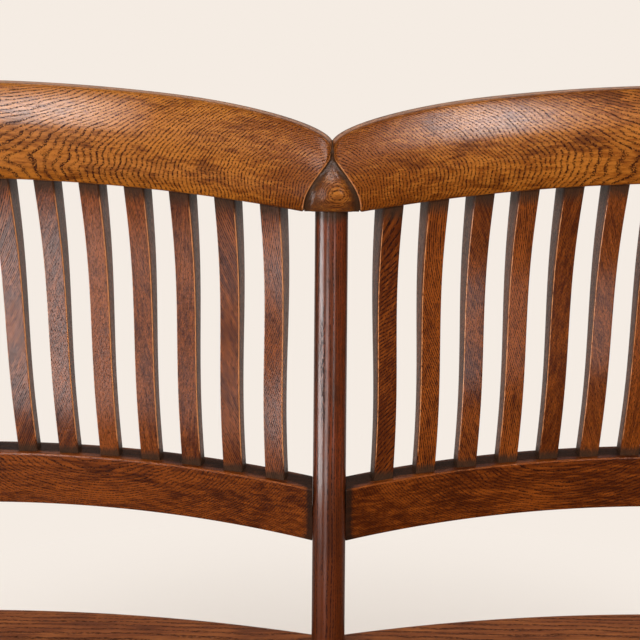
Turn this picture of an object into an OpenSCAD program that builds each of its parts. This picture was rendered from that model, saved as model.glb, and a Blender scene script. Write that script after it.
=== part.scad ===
// Two-seat settee in oak whose back is a pair of bowed, slatted chair backs.
// Millimetres. X runs along the seat, Y from front to back, Z up from the floor.
// The origin lies on the floor, under the middle of the whole settee.
// A point of one back is found by u, its distance along X from the centre post.
// The right half is drawn, and the left half is its mirror image.

/* [Backs] */
// Width of one back at its lower rail, between post centres
rail_span = 542; // [500:2:600]
// How much wider a back is at its crest rail, between post centres
crest_spread = 28; // [10:1:40]
// Height from a lower rail's top to a crest rail's underside, beside a post
back_h = 202; // [160:2:260]
// How far the crest rail's underside stands behind the lower rail
back_rake = 44.5; // [30:0.5:60]
// How far a lower rail bows backwards in the middle of its back
rail_sag = 54; // [40:1:65]
// How far a crest rail bows backwards in the middle of its back
crest_sag = 31.5; // [20:0.5:45]
// How far a lower rail rises in the middle of its back
rail_rise = 6; // [2:0.5:12]
// How far a crest rail's underside rises in the middle of its back
crest_rise = 20; // [10:0.5:30]

/* [Lower rails] */
// Height of a lower rail's face
rail_h = 44; // [38:1:60]
// Thickness of a lower rail from front to back
rail_d = 22; // [21:0.5:30]
// Open height between the seat and a lower rail
rail_lift = 88; // [60:1:120]

/* [Crest rails] */
// Height of a crest rail's face in the middle of its back
crest_h = 68.5; // [62:0.5:90]
// Height of the face where the shoulder has run out
crest_shoulder_h = 65; // [58:0.5:70]
// Height of the face at the tip of a shoulder
crest_tip_h = 45; // [40:0.5:54]
// Length over which a shoulder falls to its tip
crest_shoulder_run = 120; // [80:2:180]
// Thickness at the underside
crest_foot_t = 34; // [32:0.5:44]
// Thickness at the top edge
crest_top_t = 12.5; // [8:0.5:22]
// How far the face's top edge leans behind its fullest line
crest_lean = 23; // [12:0.5:32]
// How far the underside is drawn in behind the fullest line
crest_undercut = 2.5; // [0:0.1:4]
// How far from the centre the underside of a crest rail starts
crest_cut = 21; // [19:0.5:26]
// How far from the centre the tip of a shoulder starts
crest_tip = 4.6; // [2:0.2:8]
// How far the underside runs on past the end post's centre
crest_cover = 16.5; // [15.5:0.5:24]

/* [Slats] */
// Number of slats in one back
slat_n = 15; // [9:1:15]
// Width of a slat's face
slat_w = 15.2; // [11:0.2:18]
// Thickness of a slat at its foot
slat_foot_d = 11.8; // [9:0.2:14]
// Thickness of a slat at its head
slat_head_d = 23.8; // [16:0.2:25]
// How far a slat's face stands behind the arris of the rail it meets
slat_setback = 4; // [3:0.2:5]
// Distance from the centre post to the first slat, along the lower rail
slat_foot_inset = 43; // [38:0.5:60]
// Distance from the centre post to the first slat, along the crest rail
slat_head_inset = 47; // [40:0.5:64]
// How far a slat swings forwards low down, and backwards high up
slat_swing = 4.3; // [0:0.1:7]
// How far the middle of a slat stands behind a straight line
slat_hollow = 3.5; // [0:0.1:8]
// How deep a slat is let into each rail
slat_housing = 8; // [4:0.5:12]

/* [Posts] */
// Diameter of a post at the seat
post_foot_dia = 25.6; // [24:0.2:28]
// Diameter of a post under the crest rail
post_head_dia = 24.6; // [22:0.2:26]
// How far a post's centre lies behind the lower rail's face
post_inset = 15; // [12:0.5:18]
// How deep a post is bored into the seat
post_socket = 24; // [12:1:30]
// How deep a post's full round is let into the crest
post_housing = 4; // [2:0.5:6]
// Diameter of the tenon on a post's head
post_tenon_dia = 14; // [10:0.5:16]
// Length of the tenon on a post's head
post_tenon = 12; // [6:0.5:14]
// Wood between the centre post's tenon and the dowel above it
tenon_cover = 2.4; // [1.5:0.1:4]

/* [Centre block] */
// How far the block's edges stand back from the crest rails' ends
block_margin = 4.2; // [2:0.2:6]
// Radius of the block's rounded face
block_round = 36; // [32:1:60]
// Height of the fullest point of the block's face
block_boss_h = 14; // [8:0.5:20]

/* [Seat] */
// Height of the seat
seat_h = 440; // [400:5:480]
// Thickness of the seat boards
seat_t = 42; // [36:1:50]
// How far the seat's front edge lies before the lower rail's ends
seat_reach = 400; // [360:5:460]
// How far the seat's front reaches out past the end posts' centres
seat_end_margin = 34; // [26:1:60]
// How much narrower each end of the seat is at the back
seat_taper = 18; // [0:1:40]
// Wood left behind the posts
seat_back_margin = 30; // [24:1:50]
// How far the seat's back edge bows out behind each back
seat_bow = 36; // [10:1:60]
// Radius of the seat's front corners
seat_front_round = 34; // [10:1:60]
// Radius of the seat's back corners
seat_back_round = 24; // [8:1:40]
// Radius of each hollow in the seat
dish_r = 180; // [120:2:190]
// Depth of each hollow
dish_depth = 7; // [2:0.5:10]

/* [Arms] */
// Height of an arm's top above the seat
arm_h = 205; // [190:1:225]
// Thickness of an arm
arm_t = 24; // [18:1:34]
// Width of an arm where it meets the post
arm_neck_w = 36; // [30:1:44]
// Width of an arm's rounded hand
arm_hand_w = 62; // [46:1:80]
// How far the hand's centre lies before the lower rail's ends
arm_hand_reach = 318; // [280:2:350]
// How far the hand's centre lies outside the end post's
arm_hand_out = 30; // [10:1:45]
// How far the arm's line swings outwards between its ends
arm_swing = 9; // [0:1:16]
// How deep an arm's end is hollowed to fit round its post
arm_saddle = 3.6; // [2:0.2:6]

/* [Arm supports] */
// Greatest radius of a turned arm support
support_r = 16; // [13:0.5:22]
// How far a support's foot lies inside the end post's centre
support_foot_in = 8; // [-4:1:20]
// How far a support's foot lies before the lower rail's ends
support_foot_reach = 300; // [270:2:340]
// Greatest radius of a turned arm spindle
spindle_r = 9.5; // [8:0.5:12]
// Number of spindles under each arm
spindle_n = 2; // [1:1:3]
// How deep supports and spindles are bored into the seat
stick_socket = 20; // [10:1:26]
// How deep supports and spindles are bored into the arm
arm_socket = 12; // [8:1:14]

/* [Legs] */
// Greatest radius of a turned leg
leg_r = 20; // [17:0.5:26]
// How far the top of an outer leg lies inside the end post's centre
leg_top_in = 80; // [50:2:120]
// How far an outer leg's foot splays sideways
leg_side_splay = 34; // [10:1:60]
// How far the front legs' tops lie before the lower rail's ends
front_leg_reach = 332; // [300:2:345]
// How far a front leg's foot splays forwards
front_leg_splay = 30; // [0:1:40]
// How far the back legs' tops lie before the lower rail's ends
back_leg_reach = 68; // [60:2:110]
// How far a back leg's foot splays backwards
back_leg_splay = 88; // [40:1:110]
// How deep a leg is bored into the seat
leg_socket = 26; // [14:1:30]

/* [Stretchers] */
// Height of the stretchers above the floor
stretcher_z = 150; // [110:2:190]
// Greatest radius of a side stretcher
side_stretcher_r = 14; // [13:0.5:17]
// Greatest radius of a cross stretcher
cross_stretcher_r = 13; // [11:0.5:16]
// How deep a side stretcher is bored into a leg
side_socket = 12; // [8:0.5:14]
// How deep a cross stretcher is bored into a side stretcher
cross_socket = 8; // [5:0.5:9]

/* [Dowels and fit] */
// Radius of the dowels
dowel_r = 4; // [3:0.25:5]
// How far a dowel reaches past the joint it crosses
dowel_reach = 22; // [14:1:28]
// Room left round every piece that is let into another
fit_gap = 0.3; // [0.1:0.05:0.5]

/* [Hidden] */
sides = ["left", "right"];
places = ["left", "centre", "right"];
function two_digits(i) = i < 10 ? str("0", i) : str(i);
function slat_name(side, i) = str("slat_", side, "_", two_digits(i));

// Colours of the stained oak
crest_colour = [0.62, 0.34, 0.14];
dark_colour = [0.34, 0.17, 0.09];
post_colour = [0.30, 0.13, 0.08];
seat_colour = [0.52, 0.28, 0.12];

// Fineness of turned pieces and of large arcs
turned_fn = 64;
arc_fn = 1440;
dish_fn = 360;
crest_stations = 28;
crest_steps = 10;
slat_steps = 14;
outline_steps = 12;

// Places found from the sizes above
crest_span = rail_span + crest_spread;
rail_z = seat_h + rail_lift + rail_h;
crest_z = rail_z + back_h;
arm_z = seat_h + arm_h;
seat_bottom = seat_h - seat_t;

// Share of a crest face's height at which it is fullest
crest_full_share = 0.22;
// Share of the height at which a crest rail's end has reached its tip
crest_end_share = 0.9;
// Powers of the curve of a shoulder and of the curve of an end
shoulder_power = 0.3;
end_power = 1.8;
// Shares of the seat's depth at which the boards are glued
board_shares = [0, 0.34, 0.67, 1];

// Turned outlines: shares of the length, then shares of the greatest radius
leg_shares = [[0, 0.64], [0.07, 0.64], [0.16, 0.74], [0.235, 0.86], [0.25, 0.70],
    [0.265, 0.84], [0.28, 0.93], [0.295, 0.84], [0.31, 0.68], [0.36, 0.76],
    [0.44, 0.90], [0.54, 1.00], [0.64, 0.95], [0.74, 0.78], [0.82, 0.62],
    [0.84, 0.58], [0.85, 0.70], [0.865, 0.76], [0.88, 0.70], [0.89, 0.56],
    [0.925, 0.66], [0.96, 0.68], [1, 0.56]];
support_shares = [[0, 0.60], [0.11, 0.60], [0.15, 0.82], [0.19, 0.82], [0.21, 0.60],
    [0.30, 0.92], [0.40, 1.00], [0.52, 0.84], [0.68, 0.60], [0.74, 0.56],
    [0.76, 0.74], [0.80, 0.76], [0.82, 0.58], [0.88, 0.60], [1, 0.60]];
spindle_shares = [[0, 0.70], [0.14, 0.70], [0.30, 0.86], [0.45, 1.00], [0.60, 0.92],
    [0.78, 0.74], [0.90, 0.70], [1, 0.70]];
side_stretcher_shares = [[0, 0.54], [0.10, 0.58], [0.25, 0.72], [0.40, 0.92],
    [0.50, 1.00], [0.60, 0.92], [0.75, 0.72], [0.90, 0.58], [1, 0.54]];
cross_stretcher_shares = [[0, 0.54], [0.12, 0.60], [0.30, 0.74], [0.40, 0.80],
    [0.415, 0.62], [0.43, 0.80], [0.47, 0.98], [0.50, 1.00], [0.53, 0.98],
    [0.57, 0.80], [0.585, 0.62], [0.60, 0.80], [0.70, 0.74], [0.88, 0.60], [1, 0.54]];

// Radius of an arc that spans a half width and rises by a sag
function arc_r(half, sag) = (half * half + sag * sag) / (2 * sag);
// Height of that arc above its chord, at a distance u from one end
function arc_at(u, half, sag) =
    sqrt(pow(arc_r(half, sag), 2) - pow(u - half, 2)) - (arc_r(half, sag) - sag);
// Angle by which that arc climbs at u
function arc_turn(u, half, sag) = asin((half - u) / arc_r(half, sag));
function mix(a, b, share) = a + (b - a) * share;
function cos2(share) = pow(cos(90 * share), 2);

// How far the crest's back lies behind its underside's front edge, at its furthest
crest_back_reach = max([for (j = [0:crest_steps])
    face_off(j / crest_steps, 1) + crest_thick(j / crest_steps)]);
// The rail ends' place in Y, which centres the settee between seat front and crest back
base_y = (seat_reach - back_rake - crest_sag - crest_back_reach) / 2;
seat_front_y = base_y - seat_reach;

// A lower rail's front top arris at u, and a point behind it, square to the rail
function rail_turn(u) = arc_turn(u, rail_span / 2, rail_sag);
function rail_point(u, depth) = [u - sin(rail_turn(u)) * depth,
    base_y + arc_at(u, rail_span / 2, rail_sag) + cos(rail_turn(u)) * depth,
    rail_z + arc_at(u, rail_span / 2, rail_rise)];

// A crest rail: turn, height of its face, lean of its face and thickness
function crest_turn(u) = arc_turn(u, crest_span / 2, crest_sag);
function end_swing(v) = 1 - pow(cos2(min(1, v / crest_end_share)), end_power / 2);
function crest_start(v) = mix(crest_cut, crest_tip, end_swing(v));
function crest_stop(v) = crest_span + crest_cover + (crest_cut - crest_tip) * end_swing(v);
function tip_distance(u) = max(0, min(u - crest_start(1), crest_stop(1) - u));
function shoulder_share(u) = min(1, tip_distance(u) / crest_shoulder_run);
function crest_height(u) =
    mix(crest_tip_h, crest_shoulder_h,
        pow(shoulder_share(u) * (2 - shoulder_share(u)), shoulder_power))
    + (crest_h - crest_shoulder_h) * sin(90 * min(1, tip_distance(u) / (crest_span / 2)));
function face_off(v, height_share) =
    crest_undercut * (pow(max(0, 1 - v / crest_full_share), 2) - 1)
    + crest_lean * height_share * pow(max(0, (v - crest_full_share) / (1 - crest_full_share)), 2);
function crest_thick(v) = mix(crest_foot_t, crest_top_t, v * v);
// A point of the crest rail at u, at share v of its height and share w of its thickness
function crest_point(u, v, w) =
    let (turn = crest_turn(u),
         off = face_off(v, crest_height(u) / crest_h) + w * crest_thick(v))
    [max(fit_gap / 2, u - sin(turn) * off),
     base_y + back_rake + arc_at(u, crest_span / 2, crest_sag) + cos(turn) * off,
     crest_z + arc_at(u, crest_span / 2, crest_rise) + v * crest_height(u)];

// Ends of the posts' centre lines, at the lower rail's top and the crest's underside
function post_low(u) = u == 0 ? [0, rail_point(0, post_inset)[1], rail_z]
    : [rail_point(u, post_inset)[0], rail_point(u, post_inset)[1], rail_z];
function post_high(u) = u == 0 ? [0, crest_point(0, 0, 0.5)[1], crest_z]
    : [crest_point(u, 0, 0.5)[0], crest_point(u, 0, 0.5)[1], crest_z];
function on_line(a, b, z) = a + (b - a) * (z - a[2]) / (b[2] - a[2]);
function on_post(end, z) = on_line(post_low(end * rail_span), post_high(end * crest_span), z);

// Stands what is drawn along Z on the line from a to b
module along(a, b) {
    v = b - a;
    translate(a) rotate([0, acos(v[2] / norm(v)), atan2(v[1], v[0])]) children();
}

// A turned piece from a to b with a plain tail, grown by a clearance where it is a cut.
// Its seam is turned away from the way it leans, where a cut would meet it at a corner.
module turned(a, b, r, shares, grow = 0, tail = 0) {
    length = norm(b - a);
    end = length + tail + grow;
    along(a, b) rotate([0, 0, 90]) rotate_extrude($fn = turned_fn) polygon(concat(
        [[0, -grow], [shares[0][1] * r + grow, -grow]],
        [for (s = shares) [s[1] * r + grow, s[0] * length]],
        [[shares[len(shares) - 1][1] * r + grow, end], [0, end]]));
}

module rod(a, b, r1, r2) {
    along(a, b) rotate([0, 0, 90]) cylinder(h = norm(b - a), r1 = r1, r2 = r2, $fn = turned_fn);
}

// Longer than a by a length, on the line from b to a
function past(a, b, length) = a + (a - b) * length / norm(a - b);

// A round post from the seat to the crest, with a tenon on its head
module post_body(end, grow = 0) {
    low = on_post(end, seat_h - post_socket);
    high = on_post(end, crest_z + post_housing);
    top = past(high, low, post_tenon);
    rod(past(low, high, grow), past(high, low, grow),
        post_foot_dia / 2 + grow, post_head_dia / 2 + grow);
    rod(low, past(top, low, grow), post_tenon_dia / 2 + grow, post_tenon_dia / 2 + grow);
}

// The flat-sided room that a rail's end leaves for its post, and for all beyond it
module post_room(end) {
    low = on_post(end, rail_z - 2 * rail_h);
    high = on_post(end, rail_z + rail_h);
    room = post_foot_dia / 2 + fit_gap;
    along(low, high) rotate([0, 0, -atan2(high[1] - low[1], high[0] - low[0])])
        translate([end == 0 ? -rail_sag : -room, -rail_span / 4, 0])
            cube([rail_sag + room, rail_span / 2, norm(high - low)]);
}

// Dowels: rail ends, crest ends and arms
rail_dowel_z = rail_z - rail_h / 2;
function rail_dowel_turn(end) = (1 - 2 * end) * rail_turn(post_foot_dia);
module rail_dowel(end, grow = 0) {
    c = on_post(end, rail_dowel_z);
    way = (1 - 2 * end) * [cos(rail_dowel_turn(end)), sin(rail_dowel_turn(end)), 0];
    rod(c + way * (dowel_r + fit_gap - grow), c + way * (post_foot_dia / 2 + dowel_reach + grow),
        dowel_r + grow, dowel_r + grow);
}
block_dowel_z = crest_z + post_housing + post_tenon + tenon_cover + dowel_r;
block_dowel_y = post_high(0)[1] + dowel_r;
module block_dowel(grow = 0) {
    half = crest_cut + dowel_reach / 2 + grow;
    rod([-half, block_dowel_y, block_dowel_z], [half, block_dowel_y, block_dowel_z],
        dowel_r + grow, dowel_r + grow);
}
module arm_dowel(grow = 0) {
    c = on_post(1, arm_z - arm_t / 2);
    rod(c + [0, grow, 0], c - [0, post_foot_dia / 2 + dowel_reach + grow, 0],
        dowel_r + grow, dowel_r + grow);
}
module joint_dowels() {
    color(dark_colour) {
        block_dowel();
        for (turn = [0, 1]) mirror([turn, 0, 0]) {
            rail_dowel(0);
            rail_dowel(1);
            arm_dowel();
        }
    }
}

// Slat i of the right back, counted from the centre post, grown where it is a cut
slat_foot_pitch = (rail_span - 2 * slat_foot_inset) / (slat_n - 1);
slat_head_pitch = (crest_span - 2 * slat_head_inset) / (slat_n - 1);
module slat_body(i, grow = 0) {
    foot_u = slat_foot_inset + (i - 1) * slat_foot_pitch;
    head_u = slat_head_inset + (i - 1) * slat_head_pitch;
    foot = rail_point(foot_u, slat_setback);
    head = crest_point(head_u, 0, slat_setback / crest_foot_t);
    turn = (rail_turn(foot_u) + crest_turn(head_u)) / 2;
    way = head - foot;
    side = way[0] * cos(turn) + way[1] * sin(turn);
    back = way[1] * cos(turn) - way[0] * sin(turn);
    len = norm([side, way[2]]);
    ends = (slat_housing + grow) / len;
    shares = [for (k = [0:slat_steps]) mix(-ends, 1 + ends, k / slat_steps)];
    front = [for (s = shares) back * s - slat_swing * sin(360 * s) + slat_hollow * sin(180 * s)];
    thick = [for (s = shares) mix(slat_foot_d, slat_head_d, s * s)];
    translate(foot) rotate([0, 0, turn]) rotate([0, atan2(side, way[2]), 0]) rotate([90, 0, 90])
        linear_extrude(height = slat_w + 2 * grow, center = true) polygon(concat(
            [for (k = [0:slat_steps]) [front[k] - grow, shares[k] * len]],
            [for (k = [slat_steps:-1:0]) [front[k] + thick[k] + grow, shares[k] * len]]));
}
module slat(i) {
    color(dark_colour) slat_body(i);
}

// The lower rail of the right back: a bowed strip in plan, cut to a low arch
module lower_rail() {
    half = rail_span / 2;
    bow_r = arc_r(half, rail_sag);
    arch_r = arc_r(half, rail_rise);
    color(dark_colour) difference() {
        intersection() {
            translate([0, 0, rail_z - 2 * rail_h]) linear_extrude(height = 3 * rail_h) intersection() {
                translate([half, base_y + rail_sag - bow_r]) difference() {
                    circle(r = bow_r + rail_d, $fn = arc_fn);
                    circle(r = bow_r, $fn = arc_fn);
                }
                translate([0, base_y - rail_sag]) square([rail_span + rail_d, 3 * rail_sag]);
            }
            translate([0, base_y + 3 * rail_sag, 0]) rotate([90, 0, 0])
                linear_extrude(height = 5 * rail_sag)
                translate([half, rail_z + rail_rise - arch_r]) intersection() {
                    difference() {
                        circle(r = arch_r, $fn = arc_fn);
                        circle(r = arch_r - rail_h, $fn = arc_fn);
                    }
                    translate([-rail_span, 0]) square([2 * rail_span, 2 * arch_r]);
                }
        }
        for (i = [1:slat_n]) slat_body(i, fit_gap);
        post_room(0);
        post_room(1);
        rail_dowel(0, fit_gap);
        rail_dowel(1, fit_gap);
    }
}

// The crest rail of the right back, swept along its bow from the mitre to its outer tip
function station_share(i) = (1 - cos(180 * i / crest_stations)) / 2;
function ring_point(i, v, w) =
    crest_point(mix(crest_start(v), crest_stop(v), station_share(i)), v, w);
module crest_body() {
    n = crest_steps + 1;
    ring = 2 * n;
    points = [for (i = [0:crest_stations], k = [0:ring - 1])
        ring_point(i, (k < n ? k : ring - 1 - k) / crest_steps, k < n ? 0 : 1)];
    last = crest_stations * ring;
    polyhedron(points, concat(
        [for (i = [0:crest_stations - 1], k = [0:ring - 1])
            [i * ring + k, (i + 1) * ring + k, (i + 1) * ring + (k + 1) % ring]],
        [for (i = [0:crest_stations - 1], k = [0:ring - 1])
            [i * ring + k, (i + 1) * ring + (k + 1) % ring, i * ring + (k + 1) % ring]],
        [for (k = [0:crest_steps - 1]) [k, k + 1, ring - 2 - k]],
        [for (k = [0:crest_steps - 1]) [k, ring - 2 - k, ring - 1 - k]],
        [for (k = [0:crest_steps - 1]) [last + k, last + ring - 2 - k, last + k + 1]],
        [for (k = [0:crest_steps - 1]) [last + k, last + ring - 1 - k, last + ring - 2 - k]]));
}
module crest_rail() {
    color(crest_colour) difference() {
        crest_body();
        for (i = [1:slat_n]) slat_body(i, fit_gap);
        post_body(1, fit_gap);
        block_dowel(fit_gap);
    }
}

// The block between the crest rails' ends: its edges follow theirs
block_steps = 8;
block_top_share = 0.62;
function block_share(j) = block_top_share * j / block_steps;
function block_front_x(v) = max(fit_gap, crest_start(v) - block_margin);
function block_back(v) = crest_point(crest_start(v), v, 1) - [fit_gap, 2 * fit_gap, 0];
function block_rise(v) = v * crest_height(crest_cut);
function block_ring(v) = [
    [block_front_x(v), base_y + back_rake - crest_undercut, crest_z + block_rise(v)],
    [block_back(v)[0], block_back(v)[1], crest_z + block_rise(v)],
    [-block_back(v)[0], block_back(v)[1], crest_z + block_rise(v)],
    [-block_front_x(v), base_y + back_rake - crest_undercut, crest_z + block_rise(v)]];
module centre_block() {
    points = [for (j = [0:block_steps]) each block_ring(block_share(j))];
    top = 4 * block_steps;
    color(crest_colour) difference() {
        intersection() {
            polyhedron(points, concat([[0, 1, 2], [0, 2, 3], [top, top + 2, top + 1],
                [top, top + 3, top + 2]],
                [for (j = [0:block_steps - 1], k = [0:3])
                    [4 * j + k, 4 * j + 4 + k, 4 * j + 4 + (k + 1) % 4]],
                [for (j = [0:block_steps - 1], k = [0:3])
                    [4 * j + k, 4 * j + 4 + (k + 1) % 4, 4 * j + (k + 1) % 4]]));
            translate([0, base_y + back_rake + block_round, crest_z + block_boss_h])
                sphere(r = block_round, $fn = turned_fn);
        }
        post_body(0, fit_gap);
        block_dowel(fit_gap);
    }
}

// A post, bored for the dowels that reach it
module post(end) {
    color(post_colour) difference() {
        post_body(end);
        rail_dowel(end, fit_gap);
        if (end == 0) mirror([1, 0, 0]) rail_dowel(end, fit_gap);
        if (end == 1) arm_dowel(fit_gap);
    }
}

// The seat: outline in plan, then the hollows and the sockets
seat_front_half = rail_span + seat_end_margin;
seat_back_half = seat_front_half - seat_taper;
seat_post_y = on_post(0, seat_h)[1] + seat_back_margin;
function arc_points(c, r, from, to) = [for (k = [0:outline_steps])
    c + r * [cos(mix(from, to, k / outline_steps)), sin(mix(from, to, k / outline_steps))]];
function seat_edge(x) = [x, seat_post_y + arc_at(x, seat_back_half / 2, seat_bow)];
seat_corner_x = seat_back_half - seat_back_round;
seat_corner_angle = 90 + arc_turn(seat_corner_x, seat_back_half / 2, seat_bow);
seat_corner = seat_edge(seat_corner_x)
    - seat_back_round * [cos(seat_corner_angle), sin(seat_corner_angle)];
seat_half = concat(
    arc_points([seat_front_half - seat_front_round, seat_front_y + seat_front_round],
        seat_front_round, -90, 0),
    arc_points(seat_corner, seat_back_round, 0, seat_corner_angle),
    [for (k = [2 * outline_steps - 1:-1:1]) seat_edge(seat_corner_x * k / (2 * outline_steps))]);
module seat_outline() {
    polygon(concat(seat_half, [seat_edge(0)],
        [for (k = [len(seat_half) - 1:-1:0]) [-seat_half[k][0], seat_half[k][1]]]));
}
dish_centre_y = (seat_front_y + seat_post_y) / 2;
dish_ball_r = arc_r(dish_r, dish_depth);
module seat_cut_board(k) {
    back_y = seat_post_y + seat_bow;
    low = mix(seat_front_y, back_y, board_shares[k]);
    high = mix(seat_front_y, back_y, board_shares[k + 1]);
    color(seat_colour) difference() {
        translate([0, 0, seat_bottom]) linear_extrude(height = seat_t) intersection() {
            seat_outline();
            translate([-seat_front_half, low]) square([2 * seat_front_half, high - low]);
        }
        for (turn = [0, 1]) mirror([turn, 0, 0]) {
            translate([rail_span / 2, dish_centre_y, seat_h - dish_depth + dish_ball_r])
                rotate([90, 0, 0]) sphere(r = dish_ball_r, $fn = dish_fn);
            post_body(1, fit_gap);
            arm_sticks(fit_gap);
            for (row = [0, 1]) leg_stick(row, 1, fit_gap);
        }
        post_body(0, fit_gap);
        for (row = [0, 1]) leg_stick(row, 0, fit_gap);
    }
}

// The arm's line in plan, from the end post to the hand
arm_step_share = 0.01;
arm_root = on_post(1, arm_z - arm_t / 2);
arm_start_y = arm_root[1] - post_foot_dia / 2 + arm_saddle;
arm_hand = [rail_span + arm_hand_out, base_y - arm_hand_reach];
function arm_line(t) = [mix(arm_root[0], arm_hand[0], t) + arm_swing * sin(180 * t),
    mix(arm_start_y, arm_hand[1], t)];
function arm_way(t) =
    let (d = arm_line(t + arm_step_share) - arm_line(t - arm_step_share)) d / norm(d);
function arm_side(t, side) = arm_line(t)
    + side * mix(arm_neck_w, arm_hand_w, pow(t, 3)) / 2 * [-arm_way(t)[1], arm_way(t)[0]];
module arm() {
    hand_turn = atan2(arm_way(1)[1], arm_way(1)[0]);
    color(seat_colour) difference() {
        translate([0, 0, arm_z - arm_t]) linear_extrude(height = arm_t) polygon(concat(
            [for (k = [0:outline_steps - 1]) arm_side(k / outline_steps, 1)],
            arc_points(arm_line(1), arm_hand_w / 2, hand_turn + 90, hand_turn - 90),
            [for (k = [outline_steps - 1:-1:0]) arm_side(k / outline_steps, -1)]));
        post_body(1, fit_gap);
        arm_sticks(fit_gap);
        arm_dowel(fit_gap);
    }
}

// The turned support and spindles under the right arm
support_foot = [rail_span - support_foot_in, base_y - support_foot_reach];
module arm_stick(foot, arm_share, r, shares, grow) {
    head = arm_line(arm_share);
    low = [foot[0], foot[1], seat_h];
    high = [head[0], head[1], arm_z - arm_t];
    turned(on_line(low, high, seat_h - stick_socket), on_line(low, high, arm_z - arm_t + arm_socket),
        r, shares, grow);
}
module arm_support_stick(grow = 0) {
    arm_stick(support_foot, 1, support_r, support_shares, grow);
}
module arm_spindle_stick(k, grow = 0) {
    share = k / (spindle_n + 1);
    arm_stick([support_foot[0], mix(arm_start_y, support_foot[1], share)], share,
        spindle_r, spindle_shares, grow);
}
module arm_sticks(grow = 0) {
    arm_support_stick(grow);
    for (k = [1:spindle_n]) arm_spindle_stick(k, grow);
}
module arm_support() {
    color(dark_colour) arm_support_stick();
}
module arm_spindles() {
    color(dark_colour) for (k = [1:spindle_n]) arm_spindle_stick(k);
}

// Legs: row 0 is the front row and row 1 the back row; place is -1, 0 or 1
function leg_top(row, place) = [place * (rail_span - leg_top_in),
    base_y - (row == 0 ? front_leg_reach : back_leg_reach), seat_bottom];
function leg_foot(row, place) = [leg_top(row, place)[0] + place * leg_side_splay,
    leg_top(row, place)[1] + (row == 0 ? -front_leg_splay : back_leg_splay), 0];
function on_leg(row, place, z) = on_line(leg_foot(row, place), leg_top(row, place), z);
module leg_stick(row, place, grow = 0) {
    turned(on_leg(row, place, seat_bottom + leg_socket), leg_foot(row, place),
        leg_r, leg_shares, grow, leg_r / 2);
}
module leg(row, place) {
    color(post_colour) difference() {
        leg_stick(row, place);
        translate(leg_foot(row, place) - leg_r * [2, 2, 2]) cube(leg_r * [4, 4, 2]);
        side_stretcher_stick(place, fit_gap);
    }
}

// Radius of a turned outline at a share of its length
function turned_r(share, r, shares) = r * lookup(share, shares);
leg_r_at_stretcher = turned_r(1 - stretcher_z / (seat_bottom + leg_socket), leg_r, leg_shares);
module side_stretcher_stick(place, grow = 0) {
    front = on_leg(0, place, stretcher_z);
    back = on_leg(1, place, stretcher_z);
    inset = leg_r_at_stretcher - side_socket;
    turned(past(front, back, -inset), past(back, front, -inset),
        side_stretcher_r, side_stretcher_shares, grow);
}
function stretcher_middle(place) =
    (on_leg(0, place, stretcher_z) + on_leg(1, place, stretcher_z)) / 2;
module cross_stretcher_stick(place, grow = 0) {
    inner = stretcher_middle(0);
    outer = stretcher_middle(place);
    inset = side_stretcher_r - cross_socket;
    turned(past(inner, outer, -inset), past(outer, inner, -inset),
        cross_stretcher_r, cross_stretcher_shares, grow);
}
module side_stretcher(place) {
    color(dark_colour) difference() {
        side_stretcher_stick(place);
        if (place <= 0) cross_stretcher_stick(-1, fit_gap);
        if (place >= 0) cross_stretcher_stick(1, fit_gap);
    }
}
module cross_stretcher(place) {
    color(dark_colour) cross_stretcher_stick(place);
}

// Every node by its name: paired pieces are drawn on the right and mirrored to the left
module paired(name) {
    children();
    mirror([1, 0, 0]) children();
}
paired("crest_rail") crest_rail();
paired("lower_rail") lower_rail();
paired("end_post") post(1);
paired("arm") arm();
paired("arm_support") arm_support();
paired("arm_spindles") arm_spindles();
post(0);  // centre_post
centre_block();
for (i = [1:slat_n]) {
    slat(i);
    mirror([1, 0, 0]) slat(i);
}
seat_cut_board(0);  // seat_board_front
seat_cut_board(1);  // seat_board_middle
seat_cut_board(2);  // seat_board_back
for (k = [0:2]) {
    leg(0, k - 1);
    leg(1, k - 1);
    side_stretcher(k - 1);
}
cross_stretcher(-1);  // cross_stretcher_left
cross_stretcher(1);  // cross_stretcher_right
joint_dowels();
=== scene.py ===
"""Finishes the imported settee: every wooden piece gets its worn, rounded surface and stained oak.

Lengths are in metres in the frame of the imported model: X along the seat, Y from front to back, Z up.
"""

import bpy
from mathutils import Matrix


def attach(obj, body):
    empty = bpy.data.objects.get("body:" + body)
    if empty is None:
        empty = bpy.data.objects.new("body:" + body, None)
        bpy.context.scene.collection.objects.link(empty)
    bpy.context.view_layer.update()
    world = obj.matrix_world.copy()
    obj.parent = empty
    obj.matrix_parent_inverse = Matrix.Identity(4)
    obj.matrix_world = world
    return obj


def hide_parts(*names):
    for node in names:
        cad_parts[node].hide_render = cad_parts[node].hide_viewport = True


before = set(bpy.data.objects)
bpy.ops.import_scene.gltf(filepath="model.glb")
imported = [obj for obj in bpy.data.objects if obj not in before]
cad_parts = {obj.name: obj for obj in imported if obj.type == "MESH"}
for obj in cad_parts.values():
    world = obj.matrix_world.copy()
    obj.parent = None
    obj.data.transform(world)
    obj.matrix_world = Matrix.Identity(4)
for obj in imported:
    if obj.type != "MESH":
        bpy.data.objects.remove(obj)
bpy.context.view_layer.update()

import math

import bpy
import numpy as np
from bpy.props import FloatProperty, FloatVectorProperty, IntProperty, PointerProperty
from mathutils import Matrix, Vector

bl_info = {
    "name": "Chair-back settee",
    "version": (1, 0, 0),
    "blender": (4, 5, 0),
    "location": "View3D > Sidebar > Settee",
    "description": "Builds the finished surfaces of an oak settee with two slatted chair backs",
    "category": "Object",
}

SIDES = {"left": -1.0, "right": 1.0}
PLACES = {"left": -1.0, "centre": 0.0, "right": 1.0}
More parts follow.
